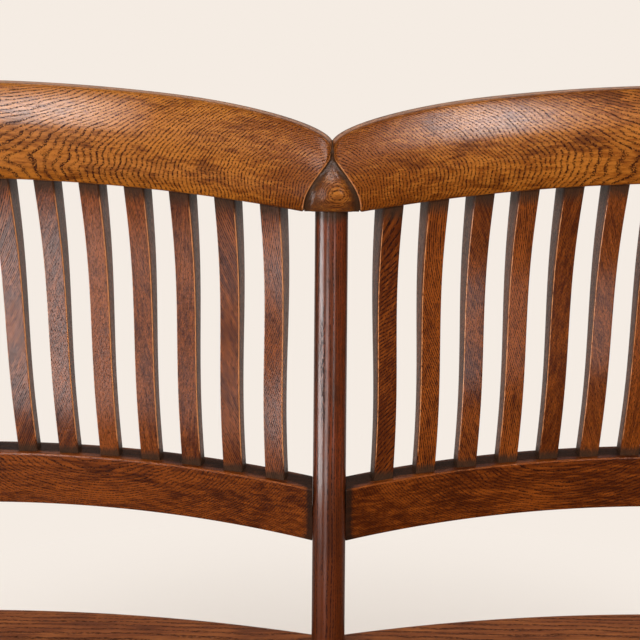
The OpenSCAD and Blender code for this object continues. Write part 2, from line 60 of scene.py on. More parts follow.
# Faces over the quarter circle of an arris, and the marks that tell a corner's kind in a section.
BENDS = 4
PLAIN, LOW_ARRIS, HIGH_ARRIS, TOP_BAND = range(4)
# Edges sharper than this stay sharp in the shading.
SHARP = math.radians(50)
# Share of a crest rail's height at which its face is fullest, and radius of the rings in its oak.
FULLEST = 0.22
CREST_BEND = 0.083
# How far each slat's face is turned outwards and how far its grain leans outwards, in degrees, how
# light its wood is and how polished its face, from the centre post outwards and over again.
PLANED = {
    "left": ((0.6, 5, 0.45, 1.0), (-0.8, 22, 0.4, 0.3), (0.4, -6, 0.4, 0.35), (0.9, 5, 0.5, 0.4),
             (-0.5, -2, 1.0, 0.5), (-1.0, -25, 0.4, 1.0), (-1.0, -25, 0.4, 1.0), (0.5, 3, 0.7, 0.6)),
    "right": ((0.8, 26, 0.05, 0.05), (0.5, 2, 0.85, 0.1), (-2.0, -25, 0.4, 1.0), (-1.2, 0, 0.9, 0.5),
              (1.6, 10, 0.25, 0.25), (-0.2, -20, 0.5, 0.8), (-1.8, 2, 0.7, 0.1), (0.7, 6, 0.5, 0.4)),
}


# Sizes and colours

def length(label, default, text):
    """A length that a user can set, in metres."""
    return FloatProperty(name=label, description=text, default=default, min=0.0, precision=4,
                         subtype="DISTANCE", unit="LENGTH")


def colour(label, red, green, blue, text):
    """A colour that a user can set, given in 0 to 255 as a picture shows it."""
    shown = [((c / 255 + 0.055) / 1.055) ** 2.4 for c in (red, green, blue)]
    return FloatVectorProperty(name=label, description=text, default=shown, size=3, min=0.0, max=1.0,
                               subtype="COLOR")


class SETTEE_PG_back(bpy.types.PropertyGroup):
    """Sizes of the two slatted backs."""
    rail_span: length("Rail span", 0.542, "Width of one back at its lower rail, between post centres")
    crest_span: length("Crest span", 0.570, "Width of one back at its crest rail, between post centres")
    base_y: length("Rail ends", 0.145, "Place of the lower rails' ends from front to back")
    rail_z: length("Rail height", 0.572, "Height of the lower rails' top beside the centre post")
    back_h: length("Back height", 0.202, "Height from a lower rail's top to a crest rail's underside")
    rake: length("Rake", 0.0445, "How far the crest's underside stands behind the lower rail")
    rail_sag: length("Rail bow", 0.054, "How far a lower rail bows backwards")
    crest_sag: length("Crest bow", 0.0315, "How far a crest rail bows backwards")
    rail_rise: length("Rail rise", 0.006, "How far a lower rail rises in its middle")
    crest_rise: length("Crest rise", 0.020, "How far a crest's underside rises in its middle")
    rail_h: length("Rail face", 0.044, "Height of a lower rail's face")
    rail_d: length("Rail thickness", 0.022, "Thickness of a lower rail")
    crest_h: length("Crest face", 0.0685, "Height of a crest rail's face in its middle")
    shoulder_h: length("Shoulder", 0.065, "Height of the face where the shoulder has run out")
    tip_h: length("Tip", 0.043, "Height of the face at the tip of a shoulder")
    shoulder_run: length("Shoulder run", 0.120, "Length over which a shoulder falls to its tip")
    foot_t: length("Crest foot", 0.034, "Thickness of a crest rail at its underside")
    top_t: length("Crest top", 0.0125, "Thickness of a crest rail at its top edge")
    lean: length("Crest lean", 0.023, "How far the face's top edge leans behind its fullest line")
    undercut: length("Crest undercut", 0.0025, "How far the underside is drawn in")
    cut: length("Crest cut", 0.021, "How far from the centre a crest's underside starts")
    tip: length("Crest tip", 0.0036, "How far from the centre a shoulder's tip starts")
    cover: length("Crest cover", 0.0165, "How far the underside runs on past the end post")
    post_inset: length("Post inset", 0.015, "How far a post's centre lies behind the rail's face")
    post_foot_r: length("Post foot", 0.0128, "Radius of a post at the seat")
    post_head_r: length("Post head", 0.0123, "Radius of a post under the crest rail")
    block_margin: length("Block margin", 0.0042, "Room between the block and the crest rails' ends")
    block_round: length("Block round", 0.036, "Radius of the block's bulging face")
    block_boss_h: length("Block boss", 0.014, "Height of the fullest point of the block's face")
    fit_gap: length("Fit", 0.0003, "Room round every piece that is let into another")


class SETTEE_PG_slats(bpy.types.PropertyGroup):
    """Sizes of the slats."""
    count: IntProperty(name="Slats", description="Number of slats in one back", default=15, min=1)
    width: length("Width", 0.0152, "Width of a slat's face")
    foot_d: length("Foot thickness", 0.0118, "Thickness of a slat at its foot")
    head_d: length("Head thickness", 0.0238, "Thickness of a slat at its head")
    setback: length("Setback", 0.004, "How far a slat's face stands behind the rail's arris")
    foot_inset: length("Foot inset", 0.043, "Distance from the centre to the first slat's foot")
    head_inset: length("Head inset", 0.047, "Distance from the centre to the first slat's head")
    swing: length("Swing", 0.0043, "How far a slat swings forwards low down, and backwards high up")
    hollow: length("Hollow", 0.0035, "How far a slat's middle stands behind a straight line")
    housing: length("Housing", 0.006, "How deep a slat runs into each rail")


class SETTEE_PG_seat(bpy.types.PropertyGroup):
    """Sizes of the seat, the arms and what stands under them."""
    seat_h: length("Seat height", 0.440, "Height of the seat")
    seat_t: length("Seat thickness", 0.042, "Thickness of the seat boards")
    reach: length("Seat reach", 0.400, "How far the seat's front lies before the lower rails' ends")
    front_half: length("Half width", 0.576, "Half of the seat's width at the front")
    taper: length("Taper", 0.018, "How much narrower each end of the seat is at the back")
    back_margin: length("Back margin", 0.030, "Wood left behind the posts")
    bow: length("Seat bow", 0.036, "How far the seat's back edge bows out behind each back")
    front_round: length("Front corners", 0.034, "Radius of the seat's front corners")
    back_round: length("Back corners", 0.024, "Radius of the seat's back corners")
    arris: length("Arris", 0.005, "Radius of the seat's worn edges")
    dish_r: length("Hollow radius", 0.180, "Radius of each hollow in the seat")
    dish_depth: length("Hollow depth", 0.007, "Depth of each hollow")
    arm_h: length("Arm height", 0.205, "Height of an arm's top above the seat")
    arm_t: length("Arm thickness", 0.024, "Thickness of an arm")
    neck_w: length("Arm neck", 0.036, "Width of an arm where it meets the post")
    hand_w: length("Arm hand", 0.062, "Width of an arm's rounded hand")
    hand_reach: length("Hand reach", 0.318, "How far the hand lies before the lower rails' ends")
    hand_out: length("Hand out", 0.030, "How far the hand's centre lies outside the end post's")
    arm_swing: length("Arm swing", 0.009, "How far an arm's line swings outwards")
    support_r: length("Support", 0.016, "Greatest radius of an arm support")
    support_in: length("Support foot", 0.008, "How far a support's foot lies inside the end post")
    support_reach: length("Support reach", 0.300, "How far a support's foot lies before the rails' ends")
    spindle_r: length("Spindle", 0.0095, "Greatest radius of an arm spindle")
    stick_socket: length("Seat socket", 0.020, "How deep supports and spindles are bored into the seat")
    arm_socket: length("Arm socket", 0.012, "How deep supports and spindles are bored into an arm")


class SETTEE_PG_legs(bpy.types.PropertyGroup):
    """Sizes of the legs and stretchers."""
    leg_r: length("Leg", 0.020, "Greatest radius of a leg")
    top_in: length("Leg top", 0.080, "How far an outer leg's top lies inside the end post's centre")
    side_splay: length("Side splay", 0.034, "How far an outer leg's foot splays sideways")
    front_reach: length("Front reach", 0.332, "How far the front legs' tops lie before the rails' ends")
    front_splay: length("Front splay", 0.030, "How far a front leg's foot splays forwards")
    back_reach: length("Back reach", 0.068, "How far the back legs' tops lie before the rails' ends")
    back_splay: length("Back splay", 0.088, "How far a back leg's foot splays backwards")
    socket: length("Leg socket", 0.026, "How deep a leg is bored into the seat")
    stretcher_z: length("Stretcher height", 0.150, "Height of the stretchers above the floor")
    side_r: length("Side stretcher", 0.014, "Greatest radius of a side stretcher")
    cross_r: length("Cross stretcher", 0.013, "Greatest radius of a cross stretcher")


class SETTEE_PG_colours(bpy.types.PropertyGroup):
    """Colours of the stained oak and of the room."""
    crest_light: colour("Crest light", 163, 98, 31, "Golden wood between the rings of the crest rails")
    crest_mid: colour("Crest middle", 116, 59, 12, "Wood of the crest rails")
    crest_dark: colour("Crest dark", 44, 14, 1, "Ring lines of the crest rails")
    dark_light: colour("Rail light", 134, 66, 17, "Light streaks of the rails and slats")
    dark_mid: colour("Rail middle", 78, 31, 5, "Wood of the rails and slats")
    dark_dark: colour("Rail dark", 26, 9, 2, "Ring lines of the rails and slats")
    post_light: colour("Post light", 118, 50, 20, "Light streaks of the posts")
    post_mid: colour("Post middle", 86, 38, 13, "Wood of the posts")
    post_dark: colour("Post dark", 34, 14, 7, "Ring lines of the posts")
    seat_light: colour("Seat light", 150, 84, 34, "Light wood of the seat and arms")
    seat_mid: colour("Seat middle", 116, 58, 20, "Wood of the seat and arms")
    seat_dark: colour("Seat dark", 54, 24, 9, "Ring lines of the seat and arms")
    # On the crest's top this colour partly paints a sheen.
    worn: colour("Worn arris", 206, 136, 84, "Wood that hands have rubbed bare of stain")
    # This colour also paints shade: under the crest, at the slats' feet and flanks, in the gaps at the
    # crest's ends, on the block's cheeks and neck, and on the posts' heads.
    grime_and_shade: colour("Grime", 52, 36, 24, "Stain and wax that gathered in the corners")
    # This colour also paints the shade beside the posts.
    deep: colour("Deep grime", 32, 20, 12, "Grime on the lower rails' tops and beside the posts")
    dowel: colour("Dowel", 176, 134, 86, "Plain dowel rod")
    room: colour("Room", 245, 236, 227, "Floor and backdrop")


# Plain helpers

def mix(a, b, share):
    """The value share of the way from a to b."""
    return a + (b - a) * share


def ramp(value, start, run):
    """0 up to start, then straight up to 1 over run."""
    return np.clip((value - start) / run, 0, 1)


def near(distance, reach):
    """1 at a distance of nothing, falling off as exp(-(distance / reach)²)."""
    return np.exp(-(np.asarray(distance) / reach) ** 2)


# Curves of the backs

def arc_radius(half, sag):
    """Radius of the arc over a chord of 2 half that rises by sag: (half² + sag²) / (2 sag)."""
    return (half ** 2 + sag ** 2) / (2 * sag)


def arc_rise(u, half, sag):
    """Height of that arc over its chord, u from one end: √(r² - (u - half)²) - (r - sag)."""
    r = arc_radius(half, sag)
    return np.sqrt(r ** 2 - (u - half) ** 2) - (r - sag)


def arc_turn(u, half, sag):
    """Angle by which that arc climbs at u: asin((half - u) / r)."""
    return np.arcsin((half - u) / arc_radius(half, sag))


def rail_point(b, u, depth):
    """Lower rail: the bow's point at u, moved depth behind it square to the bow."""
    half = b.rail_span / 2
    turn = arc_turn(u, half, b.rail_sag)
    x = u - np.sin(turn) * depth
    y = b.base_y + arc_rise(u, half, b.rail_sag) + np.cos(turn) * depth
    z = b.rail_z + arc_rise(u, half, b.rail_rise)
    return np.stack(np.broadcast_arrays(x, y, z), -1)


def end_swing(v):
    """How far a crest's end has swung in at share v of its height: 1 - cos(90° v / 0.9) ** 1.8."""
    return 1 - np.cos(np.pi / 2 * ramp(v, 0, 0.9)) ** 1.8


def crest_start(b, v):
    """Distance from the centre at which the crest rail starts at share v of its height."""
    return mix(b.cut, b.tip, end_swing(v))


def crest_stop(b, v):
    """Distance from the centre at which it ends beyond the end post."""
    return b.crest_span + b.cover + (b.cut - b.tip) * end_swing(v)


def crest_height(b, u):
    """Face height at u: it climbs from the tip as (s (2 - s)) ** 0.3, then to the middle as a sine."""
    gone = np.maximum(0, np.minimum(u - crest_start(b, 1.0), crest_stop(b, 1.0) - u))
    s = np.minimum(1, gone / b.shoulder_run)
    rest = np.sin(np.pi / 2 * np.minimum(1, gone / (b.crest_span / 2)))
    return mix(b.tip_h, b.shoulder_h, (s * (2 - s)) ** 0.3) + (b.crest_h - b.shoulder_h) * rest


def crest_thick(b, v):
    """Thickness at share v of the height: it falls with the square of v."""
    return mix(b.foot_t, b.top_t, v * v)


def crest_point(b, u, v, w):
    """Crest rail: the bow's point at u, moved back by the face's lean and by share w of the thickness.
    The face is fullest at FULLEST, is drawn in below as a square, and leans back above as a square."""
    half = b.crest_span / 2
    height = crest_height(b, u)
    face = (b.undercut * (np.maximum(0, 1 - v / FULLEST) ** 2 - 1)
            + b.lean * height / b.crest_h * np.maximum(0, (v - FULLEST) / (1 - FULLEST)) ** 2)
    back = face + w * crest_thick(b, v)
    turn = arc_turn(u, half, b.crest_sag)
    x = np.maximum(b.fit_gap / 2, u - np.sin(turn) * back)
    y = b.base_y + b.rake + arc_rise(u, half, b.crest_sag) + np.cos(turn) * back
    z = b.rail_z + b.back_h + arc_rise(u, half, b.crest_rise) + v * height
    return np.stack(np.broadcast_arrays(x, y, z), -1)


def on_line(low, high, z):
    """The point at height z on the line through low and high."""
    low, high = np.asarray(low, float), np.asarray(high, float)
    return low + (high - low) * ((np.asarray(z) - low[2]) / (high[2] - low[2]))[..., None]


def post_ends(b, end):
    """Two points of a post's centre line: at the rail's top and at the crest's underside."""
    low = rail_point(b, b.rail_span * end, b.post_inset)
    high = crest_point(b, b.crest_span * end, 0.0, 0.5)
    low[2], high[2] = b.rail_z, b.rail_z + b.back_h
    if not end:
        low[0] = high[0] = 0.0
    return low, high


# Skins over rings of corners

def section(low, high, facing):
    """Outline of a bar with rounded arrises. Each corner is at height a = ca A + a0 and depth
    b = cb B + b0 in a section A high and B deep; an arris is a quarter circle.
    It runs up the face and down the back, so corner k and corner n - 1 - k lie opposite. A lone
    corner lies between the two arrises of the underside, and so does one between those of the top.
    The last two rows tell a corner's mark and how far out on its arris it lies, sin(2 t)."""
    t = np.linspace(0, np.pi / 2, BENDS + 1)
    q = (1 - np.cos(np.pi * np.linspace(0, 1, facing)[1:-1])) / 2
    one, none = np.ones_like(t), np.zeros_like(t)
    out = np.sin(2 * t)
    lone = 0.3
    front = np.concatenate([
        np.array([[0.0, 0.0, lone, 0.0, PLAIN, 0.0]]).T,
        np.stack([none, low * (1 - np.cos(t)), none, low * (1 - np.sin(t)), LOW_ARRIS * one, out]),
        np.stack([q, mix(low, -high, q), 0 * q, 0 * q, PLAIN * q, 0 * q]),
        np.stack([one, -high * (1 - np.sin(t)), none, high * (1 - np.cos(t)), HIGH_ARRIS * one, out]),
        np.array([[1.0, 0.0, lone, 0.0, TOP_BAND, 0.0]]).T,
    ], 1)
    back = front[:, ::-1].copy()
    back[2], back[3] = 1 - back[2], -back[3]
    return np.concatenate([front, back], 1)


def stations(count, arris):
    """Shares along a bar, the distance of each station from the two ends, and its inset.
    At an end the section is inset by arris (1 - sin t) at a distance of arris (1 - cos t)."""
    t = np.linspace(0, np.pi / 2, BENDS + 1)[:-1]
    middle = (1 - np.cos(np.pi * np.linspace(0, 1, count))) / 2
    share = np.concatenate([0 * t, middle, 0 * t + 1])
    start = np.concatenate([arris * (1 - np.cos(t)), np.full(count + BENDS, arris)])
    inset = arris * (1 - np.sin(t))
    inset = np.concatenate([inset, np.zeros(count), inset[::-1]])
    return share[:, None], start[:, None], start[::-1, None], inset[:, None]


def inset_share(share, size, inset):
    """A share of a size, drawn in at both ends by inset: share becomes that of the smaller size."""
    return inset / size + share * (1 - 2 * inset / size)


def skin(rings):
    """Corners and faces of a closed skin over rings[i, k]. Neighbouring rings are joined by
    four-sided faces, and an end ring is closed by strips from corner k to corner n - 1 - k.
    The faces are turned round where the skin's volume, a sum of corner tetrahedra, is negative."""
    count, n = rings.shape[:2]
    i, k = np.meshgrid(np.arange(count - 1) * n, np.arange(n), indexing="ij")
    after = (k + 1) % n
    sides = np.stack([i + k, i + after, i + n + after, i + n + k], -1).reshape(-1, 4)
    j = np.arange(n // 2 - 1)
    cap = np.stack([j, j + 1, n - 2 - j, n - 1 - j], -1)
    faces = np.concatenate([sides, cap[:, ::-1], cap + (count - 1) * n])
    corners = rings.reshape(-1, 3)
    a, b, c, d = (corners[faces[:, m]] - corners.mean(0) for m in range(4))
    volume = (a * np.cross(b, c)).sum() + (a * np.cross(c, d)).sum()
    return corners, faces if volume > 0 else faces[:, ::-1]


def grain_of(corners, origin, fibre, face):
    """Each corner's place in the plank: across the rings, along them, and along the fibre.
    The three axes are the fibre, the ring normal made square to it, and their cross product."""
    z = np.asarray(fibre, float) / np.linalg.norm(fibre)
    x = np.asarray(face, float) - np.dot(face, z) * z
    x /= np.linalg.norm(x)
    y = np.cross(z, x)
    return (corners - np.asarray(origin, float)) @ np.stack([x, y, z], 1)


def chance(key):
    """Repeatable random numbers for one piece, seeded by its name."""
    return np.random.default_rng(sum((i + 1) * ord(c) for i, c in enumerate(key)))


def put(name, slot, rings, plank, wear, grime_and_shade, side=1.0, node=None, tone=None, polish=0.5):
    """Makes the skin of one piece in place of its CAD node. plank gives the grain's origin, fibre
    and ring normal in the right half, or the whole grain field; side -1 mirrors the piece to the
    left. wear, grime, tone and polish tell its material how rubbed, how grimy and darkened by
    painted shade, how light and how shiny it is.
    The grain is shifted by chance, a little across the rings and far along the fibre."""
    flip = np.array([side, 1, 1])
    corners, faces = skin(rings * flip)
    luck = chance(name)
    shift = luck.uniform(-1, 1, 3) * [0.0004, 0.0, 0.4]
    if isinstance(plank, tuple):
        plank = grain_of(corners, *(axis * flip for axis in plank))
    if tone is None:
        tone = luck.uniform()
    mesh = bpy.data.meshes.new(name + "_surface")
    mesh.from_pydata(corners, [], faces.tolist())
    mesh.polygons.foreach_set("use_smooth", np.ones(len(faces), bool))
    mesh.set_sharp_from_angle(angle=SHARP)
    field = mesh.attributes.new("grain", "FLOAT_VECTOR", "POINT")
    field.data.foreach_set("vector", np.float32(plank.reshape(-1, 3) + shift).ravel())
    for field_name, values in {"wear": wear, "grime_and_shade": grime_and_shade, "tone": tone, "polish": polish}.items():
        field = mesh.attributes.new(field_name, "FLOAT", "POINT")
        field.data.foreach_set("value", np.float32(np.broadcast_to(values, rings.shape[:2])).ravel())
    mesh.materials.append(bpy.data.materials[slot + "_finish"])
    piece = bpy.data.objects.new(name + "_finished", mesh)
    bpy.context.scene.collection.objects.link(piece)
    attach(piece, "root")
    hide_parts(node or name)


# The pieces of the backs

def crest_rings(b):
    """The crest rail: its section rides the crest's bow, from its inner to its outer tip. Stain is
    rubbed off its upper arris and the edges of its ends, and its top is pale, partly worn and partly a
    painted sheen. Its end faces are dark, partly soiled and partly painted shade; the face's foot and the
    rear are dirty, and it is darker near both ends. The top shines, and so does the upper face: on the
    left from left_from outwards and at the inner end, on the right about right_at."""
    arris, middle_v, heart_h = 0.0014, 0.6, 0.015
    rub_arris, rub_top_and_sheen, rub_tip, dirt_and_shade, dirt_reach = 0.55, 0.62, 0.42, 0.3, 0.06
    share, start, stop, inset = stations(110, arris)
    ca, a0, cb, b0, mark, out = section(arris, arris, facing=34)
    nominal = mix(crest_start(b, middle_v), crest_stop(b, middle_v), share)
    high = crest_height(b, nominal)
    v = inset_share(ca + a0 / high, high, inset)
    deep = crest_thick(b, v)
    w = inset_share(cb + b0 / deep, deep, inset)
    u = mix(crest_start(b, v) + start, crest_stop(b, v) - stop, share)
    rings = crest_point(b, u, v, w)
    edge, front, face = mark == TOP_BAND, w < 0.3, w < 0.4
    end_arris = 4 * inset / arris * (1 - inset / arris)
    tip_arris = near(u - crest_start(b, v), 0.0022) * (mark == PLAIN) * front * (v < 0.75)
    # The top band's pale wear is partly a painted sheen.
    wear = (rub_arris * out * (mark == HIGH_ARRIS) + rub_top_and_sheen * edge + rub_top_and_sheen * end_arris * front
            + rub_tip * tip_arris)
    by_end = near(np.minimum(u, b.crest_span - u), dirt_reach)
    # End faces: dark, partly soiled and partly painted shade.
    grime_and_shade = (inset >= 0.8 * arris) + dirt_and_shade * (near(v, 0.05) * face + (mark == PLAIN) * (w > 0.9) + by_end)
    fuller = 0.35 * b.undercut * (1 - np.maximum(0, 1 - v / FULLEST) ** 2)
    across = rings[..., 1] - b.base_y - b.rake + fuller
    grain = np.stack(np.broadcast_arrays(across, v * high - heart_h, u), -1)
    upper, left_from, right_at = ramp(v, 0.35, 0.4) * face, 0.13, 0.12
    polish = {"left": upper * ramp(u, left_from, 0.07) + edge + 0.4 * near(u, 0.02),
              "right": upper * near(u - right_at, 0.06) + edge}
    return rings, np.clip(wear, 0, 1), np.clip(grime_and_shade, 0, 1), grain, 0.5 - 0.8 * by_end, polish


def block_rings(b):
    """The centre block with its neck between the tips. Its sides follow the crest rails' ends; its
    face lies on a ball, y = c - √(r² - x² - (z - boss)²), inside a half width that closes above as
    an ellipse, and from there its cheeks swing back, as 3 s² - 2 s³, to meet the rails' ends.
    Its foot is lifted and hollowed by a hair. Cheeks and neck are dark, partly soiled and partly
    painted shade in the grooves beside the rails' ends, and the face darkens outwards from its boss.
    Its rings are flat sheets behind one another, sloped a little."""
    arris, foot_lift, foot_hollow, rows, columns, bends = 0.0012, 0.0022, 0.0014, 44, 34, 5
    close_from, close_to, neck_from, top = 0.28, 0.67, 0.61, 0.93
    least_half, least_back, least_ball, cheek_room = 0.0004, 0.0003, 0.0007, 0.0018
    crest_z = b.rail_z + b.back_h
    tall = float(crest_height(b, b.cut))
    t = np.linspace(0, np.pi / 2, bends + 1)[:-1]
    v = np.concatenate([arris * (1 - np.cos(t)) / tall, np.linspace(arris / tall, top, rows)])[:, None]
    inset = np.concatenate([arris * (1 - np.sin(t)), np.zeros(rows)])[:, None]
    z = crest_z + v * tall + foot_lift * (1 - v)
    cheek_depth = 0.07 + 0.3 * ramp(v, 0.57, 0.15)
    back_depth = np.interp(v, [0.5, 0.75], [1.0, 0.3])
    cheek = crest_point(b, crest_start(b, v), v, cheek_depth)
    back = crest_point(b, crest_start(b, v), v, back_depth)
    half = np.maximum(cheek[..., 0] - b.fit_gap, least_half) - inset * 0.4
    closing = np.sqrt(1 - ramp(v, close_from, close_to - close_from) ** 2)
    margin = b.block_margin + cheek_room
    face_half = (half - margin) * closing - margin * (1 - closing)
    x_face = np.sin(np.linspace(0.02, np.pi / 2, columns))[None] * half
    s = ramp(x_face, face_half, half - face_half)
    ball = b.block_round ** 2 - x_face ** 2 - (z - crest_z - b.block_boss_h) ** 2
    y_ball = b.base_y + b.rake + b.block_round - np.sqrt(np.maximum(ball, least_ball))
    swing = s * s * (3 - 2 * s)
    y_face = mix(y_ball, np.maximum(cheek[..., 1], y_ball[:, -1:]), swing) + inset
    x_back = np.clip(back[..., 0] - b.fit_gap, least_back, half) - inset * 0.2
    y_back = back[..., 1] - 2 * b.fit_gap - inset
    along_cheek, along_back = np.array([[0.3, 0.7, 1.0]]), np.array([[0.6, 0.2]])
    x = np.concatenate([x_face, mix(half, x_back, along_cheek), x_back * along_back], 1)
    y = np.concatenate([y_face, mix(y_face[:, -1:], y_back, along_cheek), y_back + 0 * along_back], 1)
    both = np.stack([x, y, z + foot_hollow * (1 - v) ** 3 * (1 - (x / half) ** 2)], -1)
    rings = np.concatenate([both, both[:, ::-1] * [-1, 1, 1]], 1)
    neck = ramp(v, neck_from, 0.08)
    # Cheeks and neck: dark, partly soiled and partly painted shade in the grooves.
    dark = np.concatenate([np.clip(swing * 1.3, 0, 1), np.ones((len(v), x.shape[1] - columns))], 1)
    dark = np.maximum(np.concatenate([dark, dark[:, ::-1]], 1), neck)
    wear = 0.3 * near(v - 0.45, 0.10) * (rings[..., 0] < 0) * (1 - dark)
    up = rings[..., 2] - crest_z - b.block_boss_h
    side_slope, up_slope = 0.12, 0.085
    across = (rings[..., 1] - b.base_y - b.rake - side_slope * rings[..., 0] - up_slope * up
              + up ** 2 / (2 * CREST_BEND))
    off_boss = np.hypot(rings[..., 0] - 0.004, up - 0.003)
    grime_and_shade = dark * mix(0.85, 1.0, neck) + (0.15 + 0.42 * (1 - near(off_boss, 0.010))) * (1 - dark)
    return rings, wear, grime_and_shade, np.stack([across, up, rings[..., 0]], -1), 0.8 * near(off_boss, 0.008)


def rail_rings(b):
    """The lower rail between its flat ends beside the posts. For a place x and a depth d the bow's
    u is (x + half d / r) / (1 + d / r); top and underside are concentric low arches in X and Z.
    Its front upper arris is rubbed and light; beside the posts it is dark, partly soiled and
    partly painted shade, and it is dirty on top, below and behind."""
    end_arris, low_arris, high_arris = 0.0006, 0.0013, 0.0014
    half = b.rail_span / 2
    bow_r, arch_r = arc_radius(half, b.rail_sag), arc_radius(half, b.rail_rise)
    share, start, stop, inset = stations(70, end_arris)
    ca, a0, cb, b0, mark, out = section(low_arris, high_arris, facing=24)
    a = inset_share(ca + a0 / b.rail_h, b.rail_h, inset)
    depth = inset_share(cb + b0 / b.rail_d, b.rail_d, inset) * b.rail_d
    low, high = post_ends(b, 1)
    axis_x = on_line(low, high, b.rail_z + (a - 1) * b.rail_h)[..., 0]
    post_share, hair = 0.38, 0.00005
    room = mix(b.post_foot_r, b.post_head_r, post_share) + hair
    x = mix(room + start, axis_x - room - stop, share)
    u = (x + half * depth / bow_r) / (1 + depth / bow_r)
    y = b.base_y + arc_rise(u, half, b.rail_sag) + np.cos(arc_turn(u, half, b.rail_sag)) * depth
    z = b.rail_z + b.rail_rise - arch_r + np.sqrt((arch_r - (1 - a) * b.rail_h) ** 2 - (x - half) ** 2)
    rings = np.stack([x, y, z], -1)
    by_post = np.minimum(x - room, axis_x - room - x)
    rubbed = out * (mark == HIGH_ARRIS) * (depth < b.rail_d * 0.12)
    wear = (0.42 * rubbed + 0.2 * out * (mark == LOW_ARRIS)) * (1 - 0.8 * near(by_post, 0.006))
    # Beside the posts: dark, partly soiled and partly painted shade.
    grime_and_shade = (near(by_post, 0.004) + 0.35 * near(by_post, 0.011) + 0.75 * (mark == TOP_BAND)
             + 0.4 * (depth > b.rail_d * 0.5) + 0.35 * near(a, 0.1))
    return rings, wear, np.clip(grime_and_shade, 0, 1), 1.4 * rubbed, 0.5 - 0.35 * (mark == TOP_BAND)


def slat_frame(b, s, i):
    """Foot, turn and length of slat i: its face starts behind the rail's arris and ends behind the
    crest's, its turn is the mean of the two bows' turns, and it runs in the plane between them."""
    foot_u = s.foot_inset + (i - 1) * (b.rail_span - 2 * s.foot_inset) / (s.count - 1)
    head_u = s.head_inset + (i - 1) * (b.crest_span - 2 * s.head_inset) / (s.count - 1)
    foot = rail_point(b, foot_u, s.setback)
    way = crest_point(b, head_u, 0.0, s.setback / b.foot_t) - foot
    turn = (arc_turn(foot_u, b.rail_span / 2, b.rail_sag)
            + arc_turn(head_u, b.crest_span / 2, b.crest_sag)) / 2
    across = way[0] * math.cos(turn) + way[1] * math.sin(turn)
    back = way[1] * math.cos(turn) - way[0] * math.sin(turn)
    return foot, turn, across, back, way[2]


def slat_rings(b, s, i, twist):
    """One slat: at share t of its length its face lies at back t - swing sin(360° t)
    + hollow sin(180° t), and its thickness grows from foot to head with the square of t.
    twist, a slope, turns the face a little to one side between the ends, as a plane leaves it.
    Its arrises are rubbed, most on the side of the centre post. Painted shadow darkens its head
    under the crest and its foot on the rail, and its flanks are dark, partly soiled and partly painted
    shade."""
    arris, rub, rub_more, rub_flat = 0.0009, 0.75, 0.45, 0.4
    foot, turn, across, back, rise = slat_frame(b, s, i)
    tall, lean = math.hypot(across, rise), math.atan2(across, rise)
    t = np.linspace(-s.housing / tall, 1 + s.housing / tall, 46)[:, None]
    ca, a0, cb, b0, mark, out = section(arris, arris, facing=12)
    side = ca * s.width + a0 - s.width / 2
    thick = mix(s.foot_d, s.head_d, np.clip(t, 0, 1) ** 2)
    deep = back * t - s.swing * np.sin(2 * np.pi * t) + s.hollow * np.sin(np.pi * t) + cb * thick + b0
    deep = deep + side * twist
    along = side * math.cos(lean) + t * tall * math.sin(lean)
    up = t * tall * math.cos(lean) - side * math.sin(lean)
    rings = foot + np.stack(np.broadcast_arrays(
        along * math.cos(turn) - deep * math.sin(turn),
        along * math.sin(turn) + deep * math.cos(turn), up), -1)
    above_foot, below_head = np.maximum(t * tall, 0), np.maximum((1 - t) * tall, 0)
    between_ends = 1 - near(np.minimum(above_foot, below_head), 0.012)
    arrises = (rub + rub_more * (mark == LOW_ARRIS)) * out
    beside = rub_flat * near(ca * s.width, 0.0008) * (mark == PLAIN)
    wear = (arrises + beside) * (cb < 0.5) * between_ends
    flank = cb * thick + b0 > 0.1 * thick
    # Head and foot: painted shadow under the crest and on the rail. Flanks: partly soiled, partly painted
    # shade.
    grime_and_shade = (0.85 * near(below_head, 0.014) + near(above_foot, 0.0045) + 0.35 * near(above_foot, 0.016)
             + 0.45 * flank * between_ends)
    side_way = np.array([math.cos(turn), math.sin(turn), 0])
    back_way = np.array([-math.sin(turn), math.cos(turn), 0])
    fibre = math.sin(lean) * side_way + math.cos(lean) * np.array([0, 0, 1])
    return rings, wear, np.clip(grime_and_shade, 0, 1), flank, (side_way, back_way, fibre)


def line_rings(a, b, radii, places, around=48, floor=False):
    """A round bar from a to b: circles of the given radii at the given shares of its length.
    With floor, each line of corners is shortened or lengthened so that the last ring lies at z = 0."""
    a, b = np.asarray(a, float), np.asarray(b, float)
    z = (b - a) / np.linalg.norm(b - a)
    x = np.cross([0.0, 1.0, 0.0] if abs(z[1]) < 0.7 else [1.0, 0.0, 0.0], z)
    x /= np.linalg.norm(x)
    y = np.cross(z, x)
    turn = (np.arange(around) + 0.5) * 2 * np.pi / around
    spoke = np.cos(turn)[:, None] * x + np.sin(turn)[:, None] * y
    share = np.asarray(places)[:, None, None] + 0 * spoke[None, :, :1]
    if floor:
        fitted_from = 0.9
        miss = -(b + spoke * radii[-1])[:, 2] / (b - a)[2]
        share = share + miss[None, :, None] * ramp(share, fitted_from, 0.1)
    return a + share * (b - a) + np.asarray(radii)[:, None, None] * spoke


